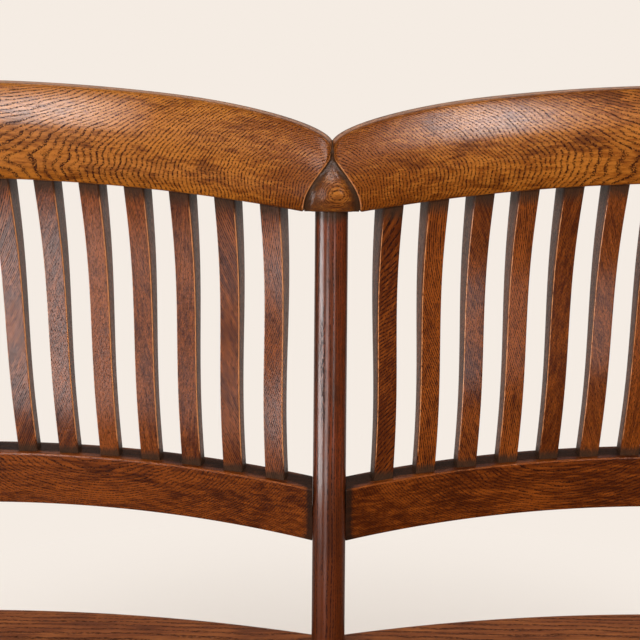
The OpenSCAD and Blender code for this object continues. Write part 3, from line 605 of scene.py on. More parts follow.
def smooth_radii(shares, fine):
    """Radii between the given ones along the shape-keeping cubic: the slope at a point is the
    weighted harmonic mean of its neighbours' slopes, or none at a peak or hollow."""
    x, y = np.asarray(shares, float).T
    h, rise = np.diff(x), np.diff(y) / np.diff(x)
    before, after = rise[:-1], rise[1:]
    w1, w2 = 2 * h[1:] + h[:-1], h[1:] + 2 * h[:-1]
    safe = before * after > 0
    inner = np.where(safe, (w1 + w2) / (w1 / np.where(safe, before, 1) + w2 / np.where(safe, after, 1)), 0)
    slope = np.concatenate([[rise[0]], inner, [rise[-1]]])
    k = np.clip(np.searchsorted(x, fine, side="right") - 1, 0, len(h) - 1)
    t = (fine - x[k]) / h[k]
    return ((1 + 2 * t) * (1 - t) ** 2 * y[k] + t * (1 - t) ** 2 * h[k] * slope[k]
            + t * t * (3 - 2 * t) * y[k + 1] + t * t * (t - 1) * h[k] * slope[k + 1])


def turned_rings(a, b, radius, shares, floor=False, joints=()):
    """A turned piece from a to b. Its wear is where the outline is sharply convex, its grime where
    it is sharply hollow, by the outline's second derivative, and beside the joints."""
    rubbed_bend, dirty_bend = 260, 160
    at = np.union1d(np.linspace(0, 1, 130), np.asarray(shares)[:, 0])
    r = radius * smooth_radii(shares, at)
    long = np.linalg.norm(np.asarray(b) - np.asarray(a))
    bend = np.gradient(np.gradient(r, at * long), at * long)
    wear = np.clip(-bend / rubbed_bend, 0, 1)[:, None]
    grime_and_shade = np.clip(bend / dirty_bend, 0, 1)[:, None] * 0.9
    for joint in joints:
        grime_and_shade = grime_and_shade + near((at[:, None] - joint) * long, 0.006)
    return line_rings(a, b, r, at, floor=floor), wear, np.clip(grime_and_shade, 0, 1)


# The seat, the arms and the turned pieces

# Start and end of each seat board as shares of the depth, and how far its rings are tilted.
BOARDS = {"front": (0.0, 0.34, 0.5), "middle": (0.34, 0.67, -0.3), "back": (0.67, 1.0, 0.7)}
# Outlines of the turned pieces: shares of the length and of the greatest radius.
LEG = [(0, .64), (.07, .64), (.16, .74), (.235, .86), (.25, .70), (.265, .84), (.28, .93), (.295, .84),
       (.31, .68), (.36, .76), (.44, .90), (.54, 1), (.64, .95), (.74, .78), (.82, .62), (.84, .58),
       (.85, .70), (.865, .76), (.88, .70), (.89, .56), (.925, .66), (.96, .68), (1, .56)]
SUPPORT = [(0, .60), (.11, .60), (.15, .82), (.19, .82), (.21, .60), (.30, .92), (.40, 1), (.52, .84),
           (.68, .60), (.74, .56), (.76, .74), (.80, .76), (.82, .58), (.88, .60), (1, .60)]
SPINDLE = [(0, .70), (.14, .70), (.30, .86), (.45, 1), (.60, .92), (.78, .74), (.90, .70), (1, .70)]
SIDE_STRETCHER = [(0, .54), (.10, .58), (.25, .72), (.40, .92), (.50, 1), (.60, .92), (.75, .72),
                  (.90, .58), (1, .54)]
CROSS_STRETCHER = [(0, .54), (.12, .60), (.30, .74), (.40, .80), (.415, .62), (.43, .80), (.47, .98),
                   (.50, 1), (.53, .98), (.57, .80), (.585, .62), (.60, .80), (.70, .74), (.88, .60),
                   (1, .54)]


def seat_outline(b, e):
    """Front line, back line and back half width of the seat."""
    low, high = post_ends(b, 0)
    return b.base_y - e.reach, on_line(low, high, e.seat_h)[1] + e.back_margin, e.front_half - e.taper


def seat_half_width(b, e, y, corner):
    """Half width of the seat at y: round front corners, a straight side, round back corners."""
    front = seat_outline(b, e)[0]
    (corner_x, corner_y), r, q = corner, e.back_round, e.front_round
    side = mix(e.front_half, corner_x + r, np.clip((y - front - q) / (corner_y - front - q), 0, 1))
    first = e.front_half - q + np.sqrt(np.clip(q ** 2 - (front + q - y) ** 2, 0, None))
    last = corner_x + np.sqrt(np.clip(r ** 2 - (y - corner_y) ** 2, 0, None))
    return np.where(y < front + q, first, np.where(y > corner_y, last, side))


def seat_rings(b, e, start, stop):
    """One glued board of the seat, from share start to share stop of its depth. Rows run across,
    columns follow the half width; the back edge bows out behind each back as an arc.
    The top is lowered by two hollows, depth (1 - (d / radius)²) ** 1.5, by the rounded arris
    r - √(r² - (r - d)²) near the outline, and by a hair at the glued joints. The hollows and the
    edges are rubbed, and dirt lies in the joints and underneath."""
    front, post_y, back_half = seat_outline(b, e)
    edge_x = back_half - e.back_round
    turn = np.pi / 2 + arc_turn(edge_x, back_half / 2, e.bow)
    edge_y = post_y + arc_rise(edge_x, back_half / 2, e.bow)
    corner = np.array([edge_x - e.back_round * np.cos(turn), edge_y - e.back_round * np.sin(turn)])
    deep = post_y + e.bow - front
    y0, y1 = front + start * deep, min(front + stop * deep, edge_y)
    steps, edge = np.array([0, .0003, .0009, .0018, .003, .0045, .006]), 0.009
    rows = np.concatenate([y0 + steps, np.linspace(y0 + edge, y1 - edge, 26), y1 - steps[::-1]])[:, None]
    half = seat_half_width(b, e, rows, corner)
    inner = np.linspace(0, 1, 66)[:-1] * (half - edge)
    right = np.concatenate([inner, half - edge, half - steps[::-1]], 1)
    x = np.concatenate([-right[:, :0:-1], right], 1)
    last = (stop == 1.0) * (rows - y0) / (y1 - y0)
    bulge = post_y + arc_rise(np.minimum(np.abs(x), edge_x), back_half / 2, e.bow) - edge_y
    y = rows + last * bulge
    inside = np.minimum(half - np.abs(x), rows - front)
    q, r = e.front_round, e.back_round
    in_front = (np.abs(x) > e.front_half - q) & (rows < front + q)
    to_front = q - np.hypot(np.abs(x) - e.front_half + q, rows - front - q)
    inside = np.where(in_front, to_front, inside)
    if stop == 1.0:
        in_back = (np.abs(x) > corner[0]) & (rows > corner[1])
        to_back = r - np.hypot(np.abs(x) - corner[0], rows - corner[1])
        inside = np.where(in_back, to_back, np.minimum(inside, y1 - rows + 0 * x))
    inside = np.maximum(inside, 0)
    joint = np.minimum(rows - y0 if start > 0 else 1.0, y1 - rows if stop < 1 else 1.0)

    def drop(radius):
        return radius - np.sqrt(radius ** 2 - np.maximum(radius - inside, 0) ** 2)

    away = np.hypot(np.abs(x) - b.rail_span / 2, y - (front + post_y) / 2) / e.dish_r
    dish = e.dish_depth * np.maximum(0, 1 - away ** 2) ** 1.5
    seam_depth, seam_half = 0.0004, 0.0009
    seam = seam_depth * np.maximum(0, 1 - joint / seam_half)
    top = e.seat_h - dish - drop(e.arris) - seam
    low = e.seat_h - e.seat_t + drop(e.arris * 0.6) + seam
    upper, lower = np.stack([x, y, top], -1), np.stack([x, y, low], -1)
    rings = np.concatenate([upper, lower[:, ::-1]], 1)
    worn_edge = near(inside - 0.0015, 0.0022)
    sat_on = 0.42 * near(away, 0.75) * (away < 1.4)
    wear = np.concatenate([np.clip(0.7 * worn_edge + sat_on, 0, 1), 0.35 * worn_edge[:, ::-1]], 1)
    dirt_and_shade = near(joint, 0.0011) + 0 * x
    grime_and_shade = np.concatenate([dirt_and_shade, np.clip(dirt_and_shade + 0.35, 0, 1)[:, ::-1]], 1)
    return rings, wear, grime_and_shade


def arm_line(b, e, t):
    """The arm's line in plan: from the end post to the hand, swung outwards by swing sin(180° t)."""
    into_post = 0.0036
    low, high = post_ends(b, 1)
    root = on_line(low, high, e.seat_h + e.arm_h - e.arm_t / 2)
    start = np.array([root[0], root[1] - b.post_foot_r + into_post])
    hand = np.array([b.rail_span + e.hand_out, b.base_y - e.hand_reach])
    t = np.asarray(t, float)[..., None]
    return start + (hand - start) * t + np.concatenate([e.arm_swing * np.sin(np.pi * t), 0 * t], -1)


# The levels of an arm's rounded edges above its lowest one: how far the outline is drawn in, its
# height from the arm's top, and how far it is rubbed.
ARM_LEVELS = ((.0024, -.0234, .1), (.0012, -.0226, .1), (.0004, -.0212, .1), (0, -.019, 0),
              (0, -.0125, 0), (0, -.0065, .05), (.0005, -.0042, .35), (.0016, -.0023, .7),
              (.0034, -.001, .8), (.006, -.00025, .6), (.0095, 0, .45))


def arm_rings(b, e):
    """An arm: its plan outline runs beside the line at half the width, which grows from neck to hand
    with the cube of t, and round the hand as an arc. The arm is a stack of that outline, drawn in
    along its normals where the arrises are rounded. Its hand is rubbed most, and dirt lies at its
    root and along its lower edge."""
    t, step = np.linspace(0, 1, 40), 0.01
    line = arm_line(b, e, t)
    way = arm_line(b, e, t + step) - arm_line(b, e, t - step)
    way /= np.linalg.norm(way, axis=-1, keepdims=True)
    normal = np.stack([-way[:, 1], way[:, 0]], -1)
    half = mix(e.neck_w, e.hand_w, t ** 3)[:, None] / 2
    turn = np.linspace(0, np.pi, 26)[1:-1]
    round_way = np.cos(turn)[:, None] * normal[-1] + np.sin(turn)[:, None] * way[-1]
    outline = np.concatenate([line + half * normal, line[-1] + round_way * e.hand_w / 2,
                              (line - half * normal)[::-1]])
    out = np.concatenate([normal, round_way, -normal[::-1]])
    lowest = (0.0055, -e.arm_t, 0)
    inset, down, rubbed = np.array((lowest, *ARM_LEVELS)).T[:, :, None]
    flat = outline[None] - inset[..., None] * out
    rings = np.concatenate([flat, 0 * flat[..., :1] + (e.seat_h + e.arm_h) + down[..., None]], -1)
    place = np.concatenate([t, 0 * turn + 1, t[::-1]])[None]
    lower_edge = (inset > 0.005) * (down < -0.02)
    grime_and_shade = near(place, 0.03) + 0.35 * lower_edge
    return rings, np.clip(rubbed * (0.45 + 0.55 * place ** 2), 0, 1), np.clip(grime_and_shade, 0, 1)


def arm_stick(b, e, foot_y, share):
    """Ends of the stick that stands on the seat at foot_y and meets the arm's line at share."""
    x, y = arm_line(b, e, share)
    low = np.array([b.rail_span - e.support_in, foot_y, e.seat_h])
    high = np.array([x, y, e.seat_h + e.arm_h - e.arm_t])
    return (on_line(low, high, low[2] - e.stick_socket), on_line(low, high, high[2] + e.arm_socket))


def on_leg(b, e, g, row, place, z):
    """The point at height z on the centre line of a leg: row 0 is in front, row 1 behind."""
    top = np.array([place * (b.rail_span - g.top_in),
                    b.base_y - (g.back_reach if row else g.front_reach), e.seat_h - e.seat_t])
    foot = np.array([top[0] + place * g.side_splay,
                     top[1] + (g.back_splay if row else -g.front_splay), 0.0])
    return on_line(foot, top, z)


def drawn_in(a, b, inset):
    """The two ends of a line, each moved towards the other by inset."""
    way = (b - a) / np.linalg.norm(b - a)
    return a + way * inset, b - way * inset


# Stained oak

class Wire:
    """One socket's output. Arithmetic with another wire or a number adds a Math node."""

    def __init__(self, recipe, socket):
        self.recipe, self.socket = recipe, socket

    def maths(self, operation, first, second):
        return self.recipe.node("ShaderNodeMath", {"operation": operation}, {0: first, 1: second})

    def __add__(self, other):
        return self.maths("ADD", self, other)

    __radd__ = __add__

    def __sub__(self, other):
        return self.maths("SUBTRACT", self, other)

    def __rsub__(self, other):
        return self.maths("SUBTRACT", other, self)

    def __mul__(self, other):
        return self.maths("MULTIPLY", self, other)

    __rmul__ = __mul__

    def __truediv__(self, other):
        return self.maths("DIVIDE", self, other)


class Recipe:
    """The nodes of one material or of the world, laid down in the order in which they are mixed."""

    def __init__(self, owner):
        owner.use_nodes = True
        self.owner, self.tree = owner, owner.node_tree
        self.tree.nodes.clear()

    def node(self, kind, settings=None, values=None, output=0):
        """Adds a node, sets its settings, then each socket's value or link; gives one output."""
        made = self.tree.nodes.new(kind)
        for key, value in (settings or {}).items():
            setattr(made, key, value)
        for key, value in (values or {}).items():
            if isinstance(value, Wire):
                self.tree.links.new(value.socket, made.inputs[key])
            else:
                made.inputs[key].default_value = value
        return None if output is None else Wire(self, made.outputs[output])

    def field(self, name, output="Fac"):
        """An attribute of the mesh, as a number or as a vector."""
        return self.node("ShaderNodeAttribute", {"attribute_name": name}, output=output)

    def part(self, vector, axis):
        """The X, Y or Z of a vector."""
        return self.node("ShaderNodeSeparateXYZ", None, {0: vector}, output=axis)

    def noise(self, place, size, detail=2.0, rough=0.5):
        """Noise from 0 to 1, of the size given across the rings, around them and along, in metres."""
        stretched = self.node("ShaderNodeVectorMath", {"operation": "MULTIPLY"},
                              {0: place, 1: [1 / metres for metres in size]})
        return self.node("ShaderNodeTexNoise", None,
                         {"Vector": stretched, "Scale": 1.0, "Detail": detail, "Roughness": rough})

    def between(self, value, low, high):
        """0 below low, 1 above high, smooth between; high may be the smaller one."""
        return self.node("ShaderNodeMapRange", {"interpolation_type": "SMOOTHSTEP"},
                         {"Value": value, "From Min": low, "From Max": high})

    def blend(self, share, first, second):
        """The second colour over the first one by a share. Sockets 6 and 7 of the Mix node take
        colours, and its output 2 gives one."""
        pair = [c if isinstance(c, Wire) else (*c, 1.0) for c in (first, second)]
        return self.node("ShaderNodeMix", {"data_type": "RGBA", "clamp_factor": True},
                         {0: share, 6: pair[0], 7: pair[1]}, output=2)

    def either(self, share, first, second):
        """The second shader over the first one by a share."""
        return self.node("ShaderNodeMixShader", None, {0: share, 1: first, 2: second})

    def wood(self, colour, rough, bump, wax=0.0):
        """Closes a material with wood's own shader: hardly any shine below, a coat of wax over it."""
        normal = self.node("ShaderNodeBump", None, {"Height": bump, "Strength": 0.6, "Distance": 0.0002})
        shader = self.node("ShaderNodeBsdfPrincipled", None, {
            "Base Color": colour, "Roughness": rough, "Normal": normal, "Specular IOR Level": 0.06,
            "Coat Weight": wax, "Coat Roughness": 0.2})
        self.node("ShaderNodeOutputMaterial", None, {"Surface": shader}, output=None)


def sway(pattern, reach):
    """A pattern of 0 to 1 as a swing about nothing, reach wide from end to end."""
    return (pattern - 0.5) * reach


def oak(name, woods, worn, grime_and_shade, ring=0.0009, bend=0.5, pore=0.0006, vessel=0.0034, flow=0.06,
        spread=0.65, contrast=1.0, smear=0.45, rubbed=0.8, wax=0.8, groove=0.75):
    """Stained oak over the grain field (across the rings, along them, along the fibre).
    Rings lie at r = across - around² / (2 bend) plus a slow wander; each starts with a line of open
    pores, drawn as dashes along the fibre, and goes on in dense wood. Rays, stain patches, rubbed
    arrises, soiling and painted shade lie over them.
    woods are its light, middle and dark colour. ring is the width of a ring, bend the radius of the
    rings, pore and vessel a pore's width and length, and flow the length of a light streak, all in
    metres. spread is how softly light wood turns into middle wood, contrast how dark pores and lines
    are, smear how far the patches darken it, rubbed how bare worn wood is, wax how much it shines,
    and groove how far the lines break the shine."""
    light, mid, dark = woods
    sound_rough = 0.35
    k = Recipe(bpy.data.materials.new(name))
    grain = k.field("grain", "Vector")
    wear, dirt_and_shade, tone, polish = (k.field(key) for key in ("wear", "grime_and_shade", "tone", "polish"))
    across, around = k.part(grain, "X"), k.part(grain, "Y")
    wander = k.noise(grain, (0.03, 0.03, 0.10))
    ripple = k.noise(grain, (0.004, 0.005, 0.016))
    pores = k.noise(grain, (pore * 0.8, pore, vessel), rough=0.6)
    fibre = k.noise(grain, (0.0004, 0.0004, 0.012), detail=3.0, rough=0.65)
    streak = k.noise(grain, (0.0022, 0.0026, flow), detail=3.0, rough=0.6)
    patch = k.noise(grain, (0.018, 0.020, 0.045), detail=3.0, rough=0.6)
    ragged = k.noise(grain, (0.0015, 0.0015, 0.006), detail=3.0, rough=0.6)
    rays = k.between(k.noise(grain, (0.0045, 0.00045, 0.0017), detail=1.0), 0.66, 0.74)
    depth = across - around * around / (2 * bend) + sway(wander, 0.0030) + sway(ripple, ring * 0.55)
    turns = depth / ring
    ring_at = k.node("ShaderNodeMath", {"operation": "FRACT"}, {0: turns})
    year = k.node("ShaderNodeMath", {"operation": "FLOOR"}, {0: turns})
    vigour = k.node("ShaderNodeTexWhiteNoise", {"noise_dimensions": "1D"}, {"W": year})
    early = k.between(ring_at, 0.0, 0.12) * k.between(ring_at, 0.58, 0.26)
    line = early * (0.55 + 0.45 * vigour) * k.between(pores, 0.38, 0.53)
    open_pore = k.between(pores + early * 0.12, 0.61, 0.70)
    bare = k.between(wear + sway(ragged, 1.1), 0.42, 0.82)
    # This darkening is partly soiling and partly painted shade.
    caked_and_shaded = k.between(dirt_and_shade + sway(ragged, 0.5), 0.25, 0.85)
    lightness = sway(streak, 1.4) + sway(fibre, 0.7) + sway(patch, 0.9) + sway(tone, 0.4)
    colour = mid
    for share, over in ((k.between(lightness, -spread / 2, spread / 2), light),
                        (rays * 0.35, light),
                        (k.between(patch + streak * 0.5, 0.74, 0.5) * smear, dark),
                        (line * contrast * 0.9, dark),
                        (open_pore * contrast * 0.6, dark),
                        (bare * rubbed, worn),
                        (open_pore * bare * 0.5, dark),
                        (caked_and_shaded * 0.88, grime_and_shade)):
        colour = k.blend(share, colour, over)
    rough = (sound_rough + sway(fibre, 0.10) + open_pore * 0.25 + line * 0.15 + caked_and_shaded * 0.30
             + bare * 0.08)
    height = 1.0 - open_pore * 0.8 - line * 0.3 + sway(fibre, 0.12)
    closed = (1.0 - line * groove) * (1.0 - open_pore * 0.8) * (1.0 - caked_and_shaded * 0.5)
    k.wood(colour, rough, height, polish * closed * k.between(fibre, 0.15, 0.6) * wax)


def plain_rod(name, tint):
    """Beech rod: pale wood with fine streaks along X, on Object coordinates."""
    k = Recipe(bpy.data.materials.new(name))
    place = k.node("ShaderNodeTexCoord", output="Object")
    streak = k.noise(place, (0.03, 0.0012, 0.0012), detail=3.0)
    fleck = k.between(k.noise(place, (0.002, 0.0004, 0.0004)), 0.62, 0.70)
    dark = [c * 0.55 for c in tint]
    colour = k.blend(fleck * 0.5, k.blend(k.between(streak, 0.3, 0.7), dark, tint), dark)
    k.wood(colour, 0.55 + sway(streak, 0.2), streak)
    return k.owner


class SETTEE_OT_oak(bpy.types.Operator):
    """Mixes the stained oak of every part"""
    bl_idname = "settee.oak"
    bl_label = "Stained oak"

    def execute(self, context):
        c = context.scene.settee_colours
        golden, brown = (c.crest_light, c.crest_mid, c.crest_dark), (c.dark_light, c.dark_mid, c.dark_dark)
        red, fair = (c.post_light, c.post_mid, c.post_dark), (c.seat_light, c.seat_mid, c.seat_dark)
        oak("crest_oak_finish", golden, c.worn, c.grime_and_shade, ring=0.00043, bend=CREST_BEND, pore=0.0009,
            vessel=0.0012, flow=0.012, contrast=1.3, rubbed=0.75, wax=1.0)
        oak("rail_oak_finish", brown, c.worn, c.deep, ring=0.0005, bend=0.3, pore=0.0008,
            vessel=0.0015, flow=0.02, smear=0.35)
        oak("slat_oak_finish", brown, c.worn, c.grime_and_shade, ring=0.0010, vessel=0.0032, flow=0.09,
            spread=0.8, contrast=1.45, smear=0.1, rubbed=1.0, wax=1.0)
        oak("post_oak_finish", red, c.worn, c.grime_and_shade, ring=0.0013, pore=0.0008, vessel=0.0024,
            contrast=1.1, rubbed=0.4, wax=1.0, groove=0.25)
        oak("seat_oak_finish", fair, c.worn, c.grime_and_shade, ring=0.0016, bend=0.16, wax=0.3)
        oak("turned_oak_finish", brown, c.worn, c.grime_and_shade, rubbed=0.5, wax=1.0)
        bpy.data.objects["joint_dowels"].data.materials[0] = plain_rod("dowel_beech_finish", c.dowel)
        return {"FINISHED"}


class SETTEE_OT_crest_rails(bpy.types.Operator):
    """Makes the two crest rails"""
    bl_idname = "settee.crest_rails"
    bl_label = "Crest rails"

    def execute(self, context):
        b = context.scene.settee_back
        rings, wear, grime_and_shade, grain, tone, polish = crest_rings(b)
        tones = {"left": tone * 1.5, "right": tone - 0.1}
        for name, side in SIDES.items():
            put(f"crest_rail_{name}", "crest_oak", rings, grain, wear, grime_and_shade, side,
                tone=tones[name], polish=np.clip(polish[name], 0, 1))
        return {"FINISHED"}


class SETTEE_OT_centre_block(bpy.types.Operator):
    """Makes the block between the crest rails' ends"""
    bl_idname = "settee.centre_block"
    bl_label = "Centre block"

    def execute(self, context):
        b = context.scene.settee_back
        rings, wear, grime_and_shade, grain, tone = block_rings(b)
        put("centre_block", "crest_oak", rings, grain, wear, grime_and_shade, tone=tone)
        return {"FINISHED"}


class SETTEE_OT_lower_rails(bpy.types.Operator):
    """Makes the two lower rails"""
    bl_idname = "settee.lower_rails"
    bl_label = "Lower rails"

    def execute(self, context):
        b = context.scene.settee_back
        rings, wear, grime_and_shade, tone, polish = rail_rings(b)
        # The left rail is made lighter towards its far end, a painted sheen, and is polished more there.
        far = ramp(rings[..., 0], 0.12, 0.10)
        plank = (np.array([0.0, b.base_y, b.rail_z - 0.03]), np.array([1.0, 0.12, 0.0]),
                 np.array([0.05, 1.0, 0.22]))
        looks = {"left": (tone + 0.35 + 0.25 * far, polish + 0.5 * far), "right": (tone + 0.25, polish)}
        for name, side in SIDES.items():
            tone, polish = looks[name]
            put(f"lower_rail_{name}", "rail_oak", rings, plank, wear, grime_and_shade, side, tone=tone, polish=polish)
        return {"FINISHED"}


class SETTEE_OT_slats(bpy.types.Operator):
    """Makes the slats of both backs"""
    bl_idname = "settee.slats"
    bl_label = "Slats"

    def execute(self, context):
        b, s = context.scene.settee_back, context.scene.settee_slats
        worn = {"left": 1.0, "right": 0.72}
        # The rings' turn in radians goes on from least_turn; the fibre tips sideways and backwards.
        most_turned, least_turn, off_heart = [0.75, 0.03, 0.05], 0.25, 0.02
        for name, side in SIDES.items():
            for i in range(1, s.count + 1):
                twist, grain_lean, tone, polish = PLANED[name][(i - 1) % len(PLANED[name])]
                rings, wear, grime_and_shade, flank, ways = slat_rings(b, s, i, math.radians(twist))
                side_way, back_way, fibre = ways
                node = f"slat_{name}_{i:02d}"
                turn, tip, back_tip = chance(node + "_grain").uniform(-1, 1, 3) * most_turned
                turn, tip = turn + math.copysign(least_turn, turn), tip + math.tan(math.radians(grain_lean))
                face = math.cos(turn) * back_way + math.sin(turn) * side_way
                heart = rail_point(b, 0.0, 0.0) + chance(node).uniform(-off_heart, off_heart, 3)
                # A flank's tone is made lighter as painted light, for the pale room that the flanks mirror.
                put(node, "slat_oak", rings, (heart, fibre + tip * side_way + back_tip * back_way, face),
                    wear * worn[name], grime_and_shade, side, tone=tone + 0.3 * flank,
                    polish=np.where(flank, 1.0, polish * (1 - 0.8 * grime_and_shade)))
        return {"FINISHED"}


class SETTEE_OT_posts(bpy.types.Operator):
    """Makes the centre post and the two end posts"""
    bl_idname = "settee.posts"
    bl_label = "Posts"

    def execute(self, context):
        b, e = context.scene.settee_back, context.scene.settee_seat
        in_seat, in_crest, lighter_side_at = 0.03, 0.006, -0.95
        at = np.linspace(0, 1, 60)
        for node, end, side in (("centre_post", 0, 1), ("end_post_left", 1, -1), ("end_post_right", 1, 1)):
            low, high = post_ends(b, end)
            foot = on_line(low, high, e.seat_h - in_seat)
            head = on_line(low, high, high[2] + in_crest)
            rings = line_rings(foot, head, mix(b.post_foot_r, b.post_head_r, at), at, around=64)
            z = rings[..., 2]
            # Painted shadow under the crest rail; soiling at the seat.
            grime_and_shade = near(np.maximum(high[2] - z, 0), 0.005) + near(z - e.seat_h, 0.005)
            above_rail = ramp(z - b.rail_z, -0.012, 0.02)
            spoke = rings - on_line(low, high, z)
            # A lighter band runs down one side of the post above the rail.
            lighter_side = near(np.arctan2(spoke[..., 1], spoke[..., 0]) - lighter_side_at, 0.25)
            plank = (foot + np.array([0.004, 0.010, 0.0]), head - foot, np.array([0.5, 1.0, 0.0]))
            put(node, "post_oak", rings, plank, 0.0, np.clip(grime_and_shade, 0, 1), side,
                tone=mix(-0.5, 0.5 * lighter_side, above_rail), polish=mix(0.3, 1.0, above_rail))
        return {"FINISHED"}


class SETTEE_OT_seat(bpy.types.Operator):
    """Makes the three glued boards of the seat"""
    bl_idname = "settee.seat"
    bl_label = "Seat boards"

    def execute(self, context):
        b, e = context.scene.settee_back, context.scene.settee_seat
        for name, (start, stop, tilt) in BOARDS.items():
            rings, wear, grime_and_shade = seat_rings(b, e, start, stop)
            heart = np.array([0.0, b.base_y - e.reach * (0.85 - start), e.seat_h - 0.01])
            plank = (heart, np.array([1.0, 0.02, 0.01]), np.array([0.0, tilt * 0.4, 1.0]))
            put(f"seat_board_{name}", "seat_oak", rings, plank, wear, grime_and_shade)
        return {"FINISHED"}


class SETTEE_OT_arms(bpy.types.Operator):
    """Makes the two arms"""
    bl_idname = "settee.arms"
    bl_label = "Arms"

    def execute(self, context):
        b, e = context.scene.settee_back, context.scene.settee_seat
        rings, wear, grime_and_shade = arm_rings(b, e)
        root, hand = arm_line(b, e, 0.0), arm_line(b, e, 1.0)
        plank = (np.array([root[0] + 0.01, root[1], e.seat_h + e.arm_h + 0.006]),
                 np.array([*(hand - root), 0.004]), np.array([0.15, 0.0, 1.0]))
        for name, side in SIDES.items():
            put(f"arm_{name}", "seat_oak", rings, plank, wear, grime_and_shade, side)
        return {"FINISHED"}


def put_turned(name, a, b, radius, shares, side, node=None, **extra):
    """A turned piece of the right half with its grain along it, or mirrored to the left half."""
    rings, wear, grime_and_shade = turned_rings(a, b, radius, shares, **extra)
    luck, off_heart = chance(name + "_grain"), 0.012
    turn = luck.uniform(0, 2 * np.pi)
    heart = a + luck.uniform(-1, 1, 3) * [off_heart, off_heart, 0.0]
    plank = (heart, (b - a) / np.linalg.norm(b - a), np.array([math.cos(turn), math.sin(turn), 0.03]))
    put(name, "turned_oak", rings, plank, wear, grime_and_shade, side, node)


class SETTEE_OT_arm_sticks(bpy.types.Operator):
    """Makes the arm supports and the arm spindles"""
    bl_idname = "settee.arm_sticks"
    bl_label = "Arm supports and spindles"

    def execute(self, context):
        b, e = context.scene.settee_back, context.scene.settee_seat
        start_y, foot_y = arm_line(b, e, 0.0)[1], b.base_y - e.support_reach
        for name, side in SIDES.items():
            low, high = arm_stick(b, e, foot_y, 1.0)
            put_turned(f"arm_support_{name}", low, high, e.support_r, SUPPORT, side)
            for k in (1, 2):
                low, high = arm_stick(b, e, mix(start_y, foot_y, k / 3), k / 3)
                put_turned(f"arm_spindle_{name}_{k}", low, high, e.spindle_r, SPINDLE, side,
                           f"arm_spindles_{name}")
        return {"FINISHED"}


class SETTEE_OT_legs(bpy.types.Operator):
    """Makes the six legs"""
    bl_idname = "settee.legs"
    bl_label = "Legs"

    def execute(self, context):
        b, e, g = context.scene.settee_back, context.scene.settee_seat, context.scene.settee_legs
        joint_at_seat = 0.06
        for row, row_name in enumerate(("front", "back")):
            for name, place in PLACES.items():
                top = on_leg(b, e, g, row, abs(place), e.seat_h - e.seat_t + g.socket)
                foot = on_leg(b, e, g, row, abs(place), 0.0)
                put_turned(f"leg_{row_name}_{name}", top, foot, g.leg_r, LEG, place or 1.0, floor=True,
                           joints=[joint_at_seat, 1 - g.stretcher_z / top[2]])
        return {"FINISHED"}


class SETTEE_OT_stretchers(bpy.types.Operator):
    """Makes the side stretchers and the cross stretchers"""
    bl_idname = "settee.stretchers"
    bl_label = "Stretchers"

    def execute(self, context):
        b, e, g = context.scene.settee_back, context.scene.settee_seat, context.scene.settee_legs
        off_leg, off_side = 0.007, 0.006
        middles = {}
        for name, place in PLACES.items():
            front, back = (on_leg(b, e, g, row, abs(place), g.stretcher_z) for row in (0, 1))
            middles[name] = (front + back) / 2
            ends = drawn_in(front, back, off_leg)
            put_turned(f"side_stretcher_{name}", *ends, g.side_r, SIDE_STRETCHER, place or 1.0)
        ends = drawn_in(middles["centre"], middles["right"], off_side)
        for name, side in SIDES.items():
            put_turned(f"cross_stretcher_{name}", *ends, g.cross_r, CROSS_STRETCHER, side)
        return {"FINISHED"}


# The floor, the light and the camera

# Distance from the middle and height of the rings of the floor, which swings up to a backdrop.
PAPER = ((0.02, 0), (1, 0), (2, 0), (4, 0), (7, 0), (10, 0), (12, .25), (13.2, .8), (14, 1.7),
         (14.4, 3.2), (14.5, 6.0))
# Each lamp's name, distance in metres, how far to the left and above it hangs in degrees at the
# back's middle, half width and half height in degrees, and radiance. The soft ones light the room, and
# the cards are what polished wood mirrors.
SOFT = [("key", 6.0, 5, 25, 24, 16, 7.1), ("top", 6.0, -15, 76, 24, 24, 0.6),
        ("right", 6.0, -95, 24, 20, 16, 2.1), ("left", 6.0, 95, 24, 20, 16, 2.4),
        ("back", 6.0, 180, 30, 24, 16, 2.7)]
CARDS = [("upper", 3.0, 3, 42, 8, 12, 9.5), ("upper_right", 3.0, -25, 54, 7, 15, 13.0),
         ("upper_left", 3.0, 25, 52, 8, 15, 13.0), ("lower_left", 2.0, 25, -1, 11, 15, 5.4),
         ("lower_right", 3.0, -23, 6, 5, 7, 4.6), ("far_left", 1.8, 69, -6, 19, 15, 11.5)]
# The place that every lamp faces, and the colour of the room's even light.
LIT_PLACE = Vector((0.0, 0.15, 0.65))
AIR = (1.0, 0.985, 0.97)
# The photo's camera: its place, how far it looks down, to the right and is rolled in degrees, and in
# pixels its focal length, the picture's width and how far the picture's middle lies above its axis.
CAMERA_PLACE = (-0.0102, -0.6997, 1.0133)
CAMERA_DOWN, CAMERA_RIGHT, CAMERA_ROLL = 19.74, 0.14, 0.47
FOCAL_PX, PICTURE_PX, ABOVE_AXIS_PX = 1256.68, 640, 0.5
SENSOR_MM = 36.0


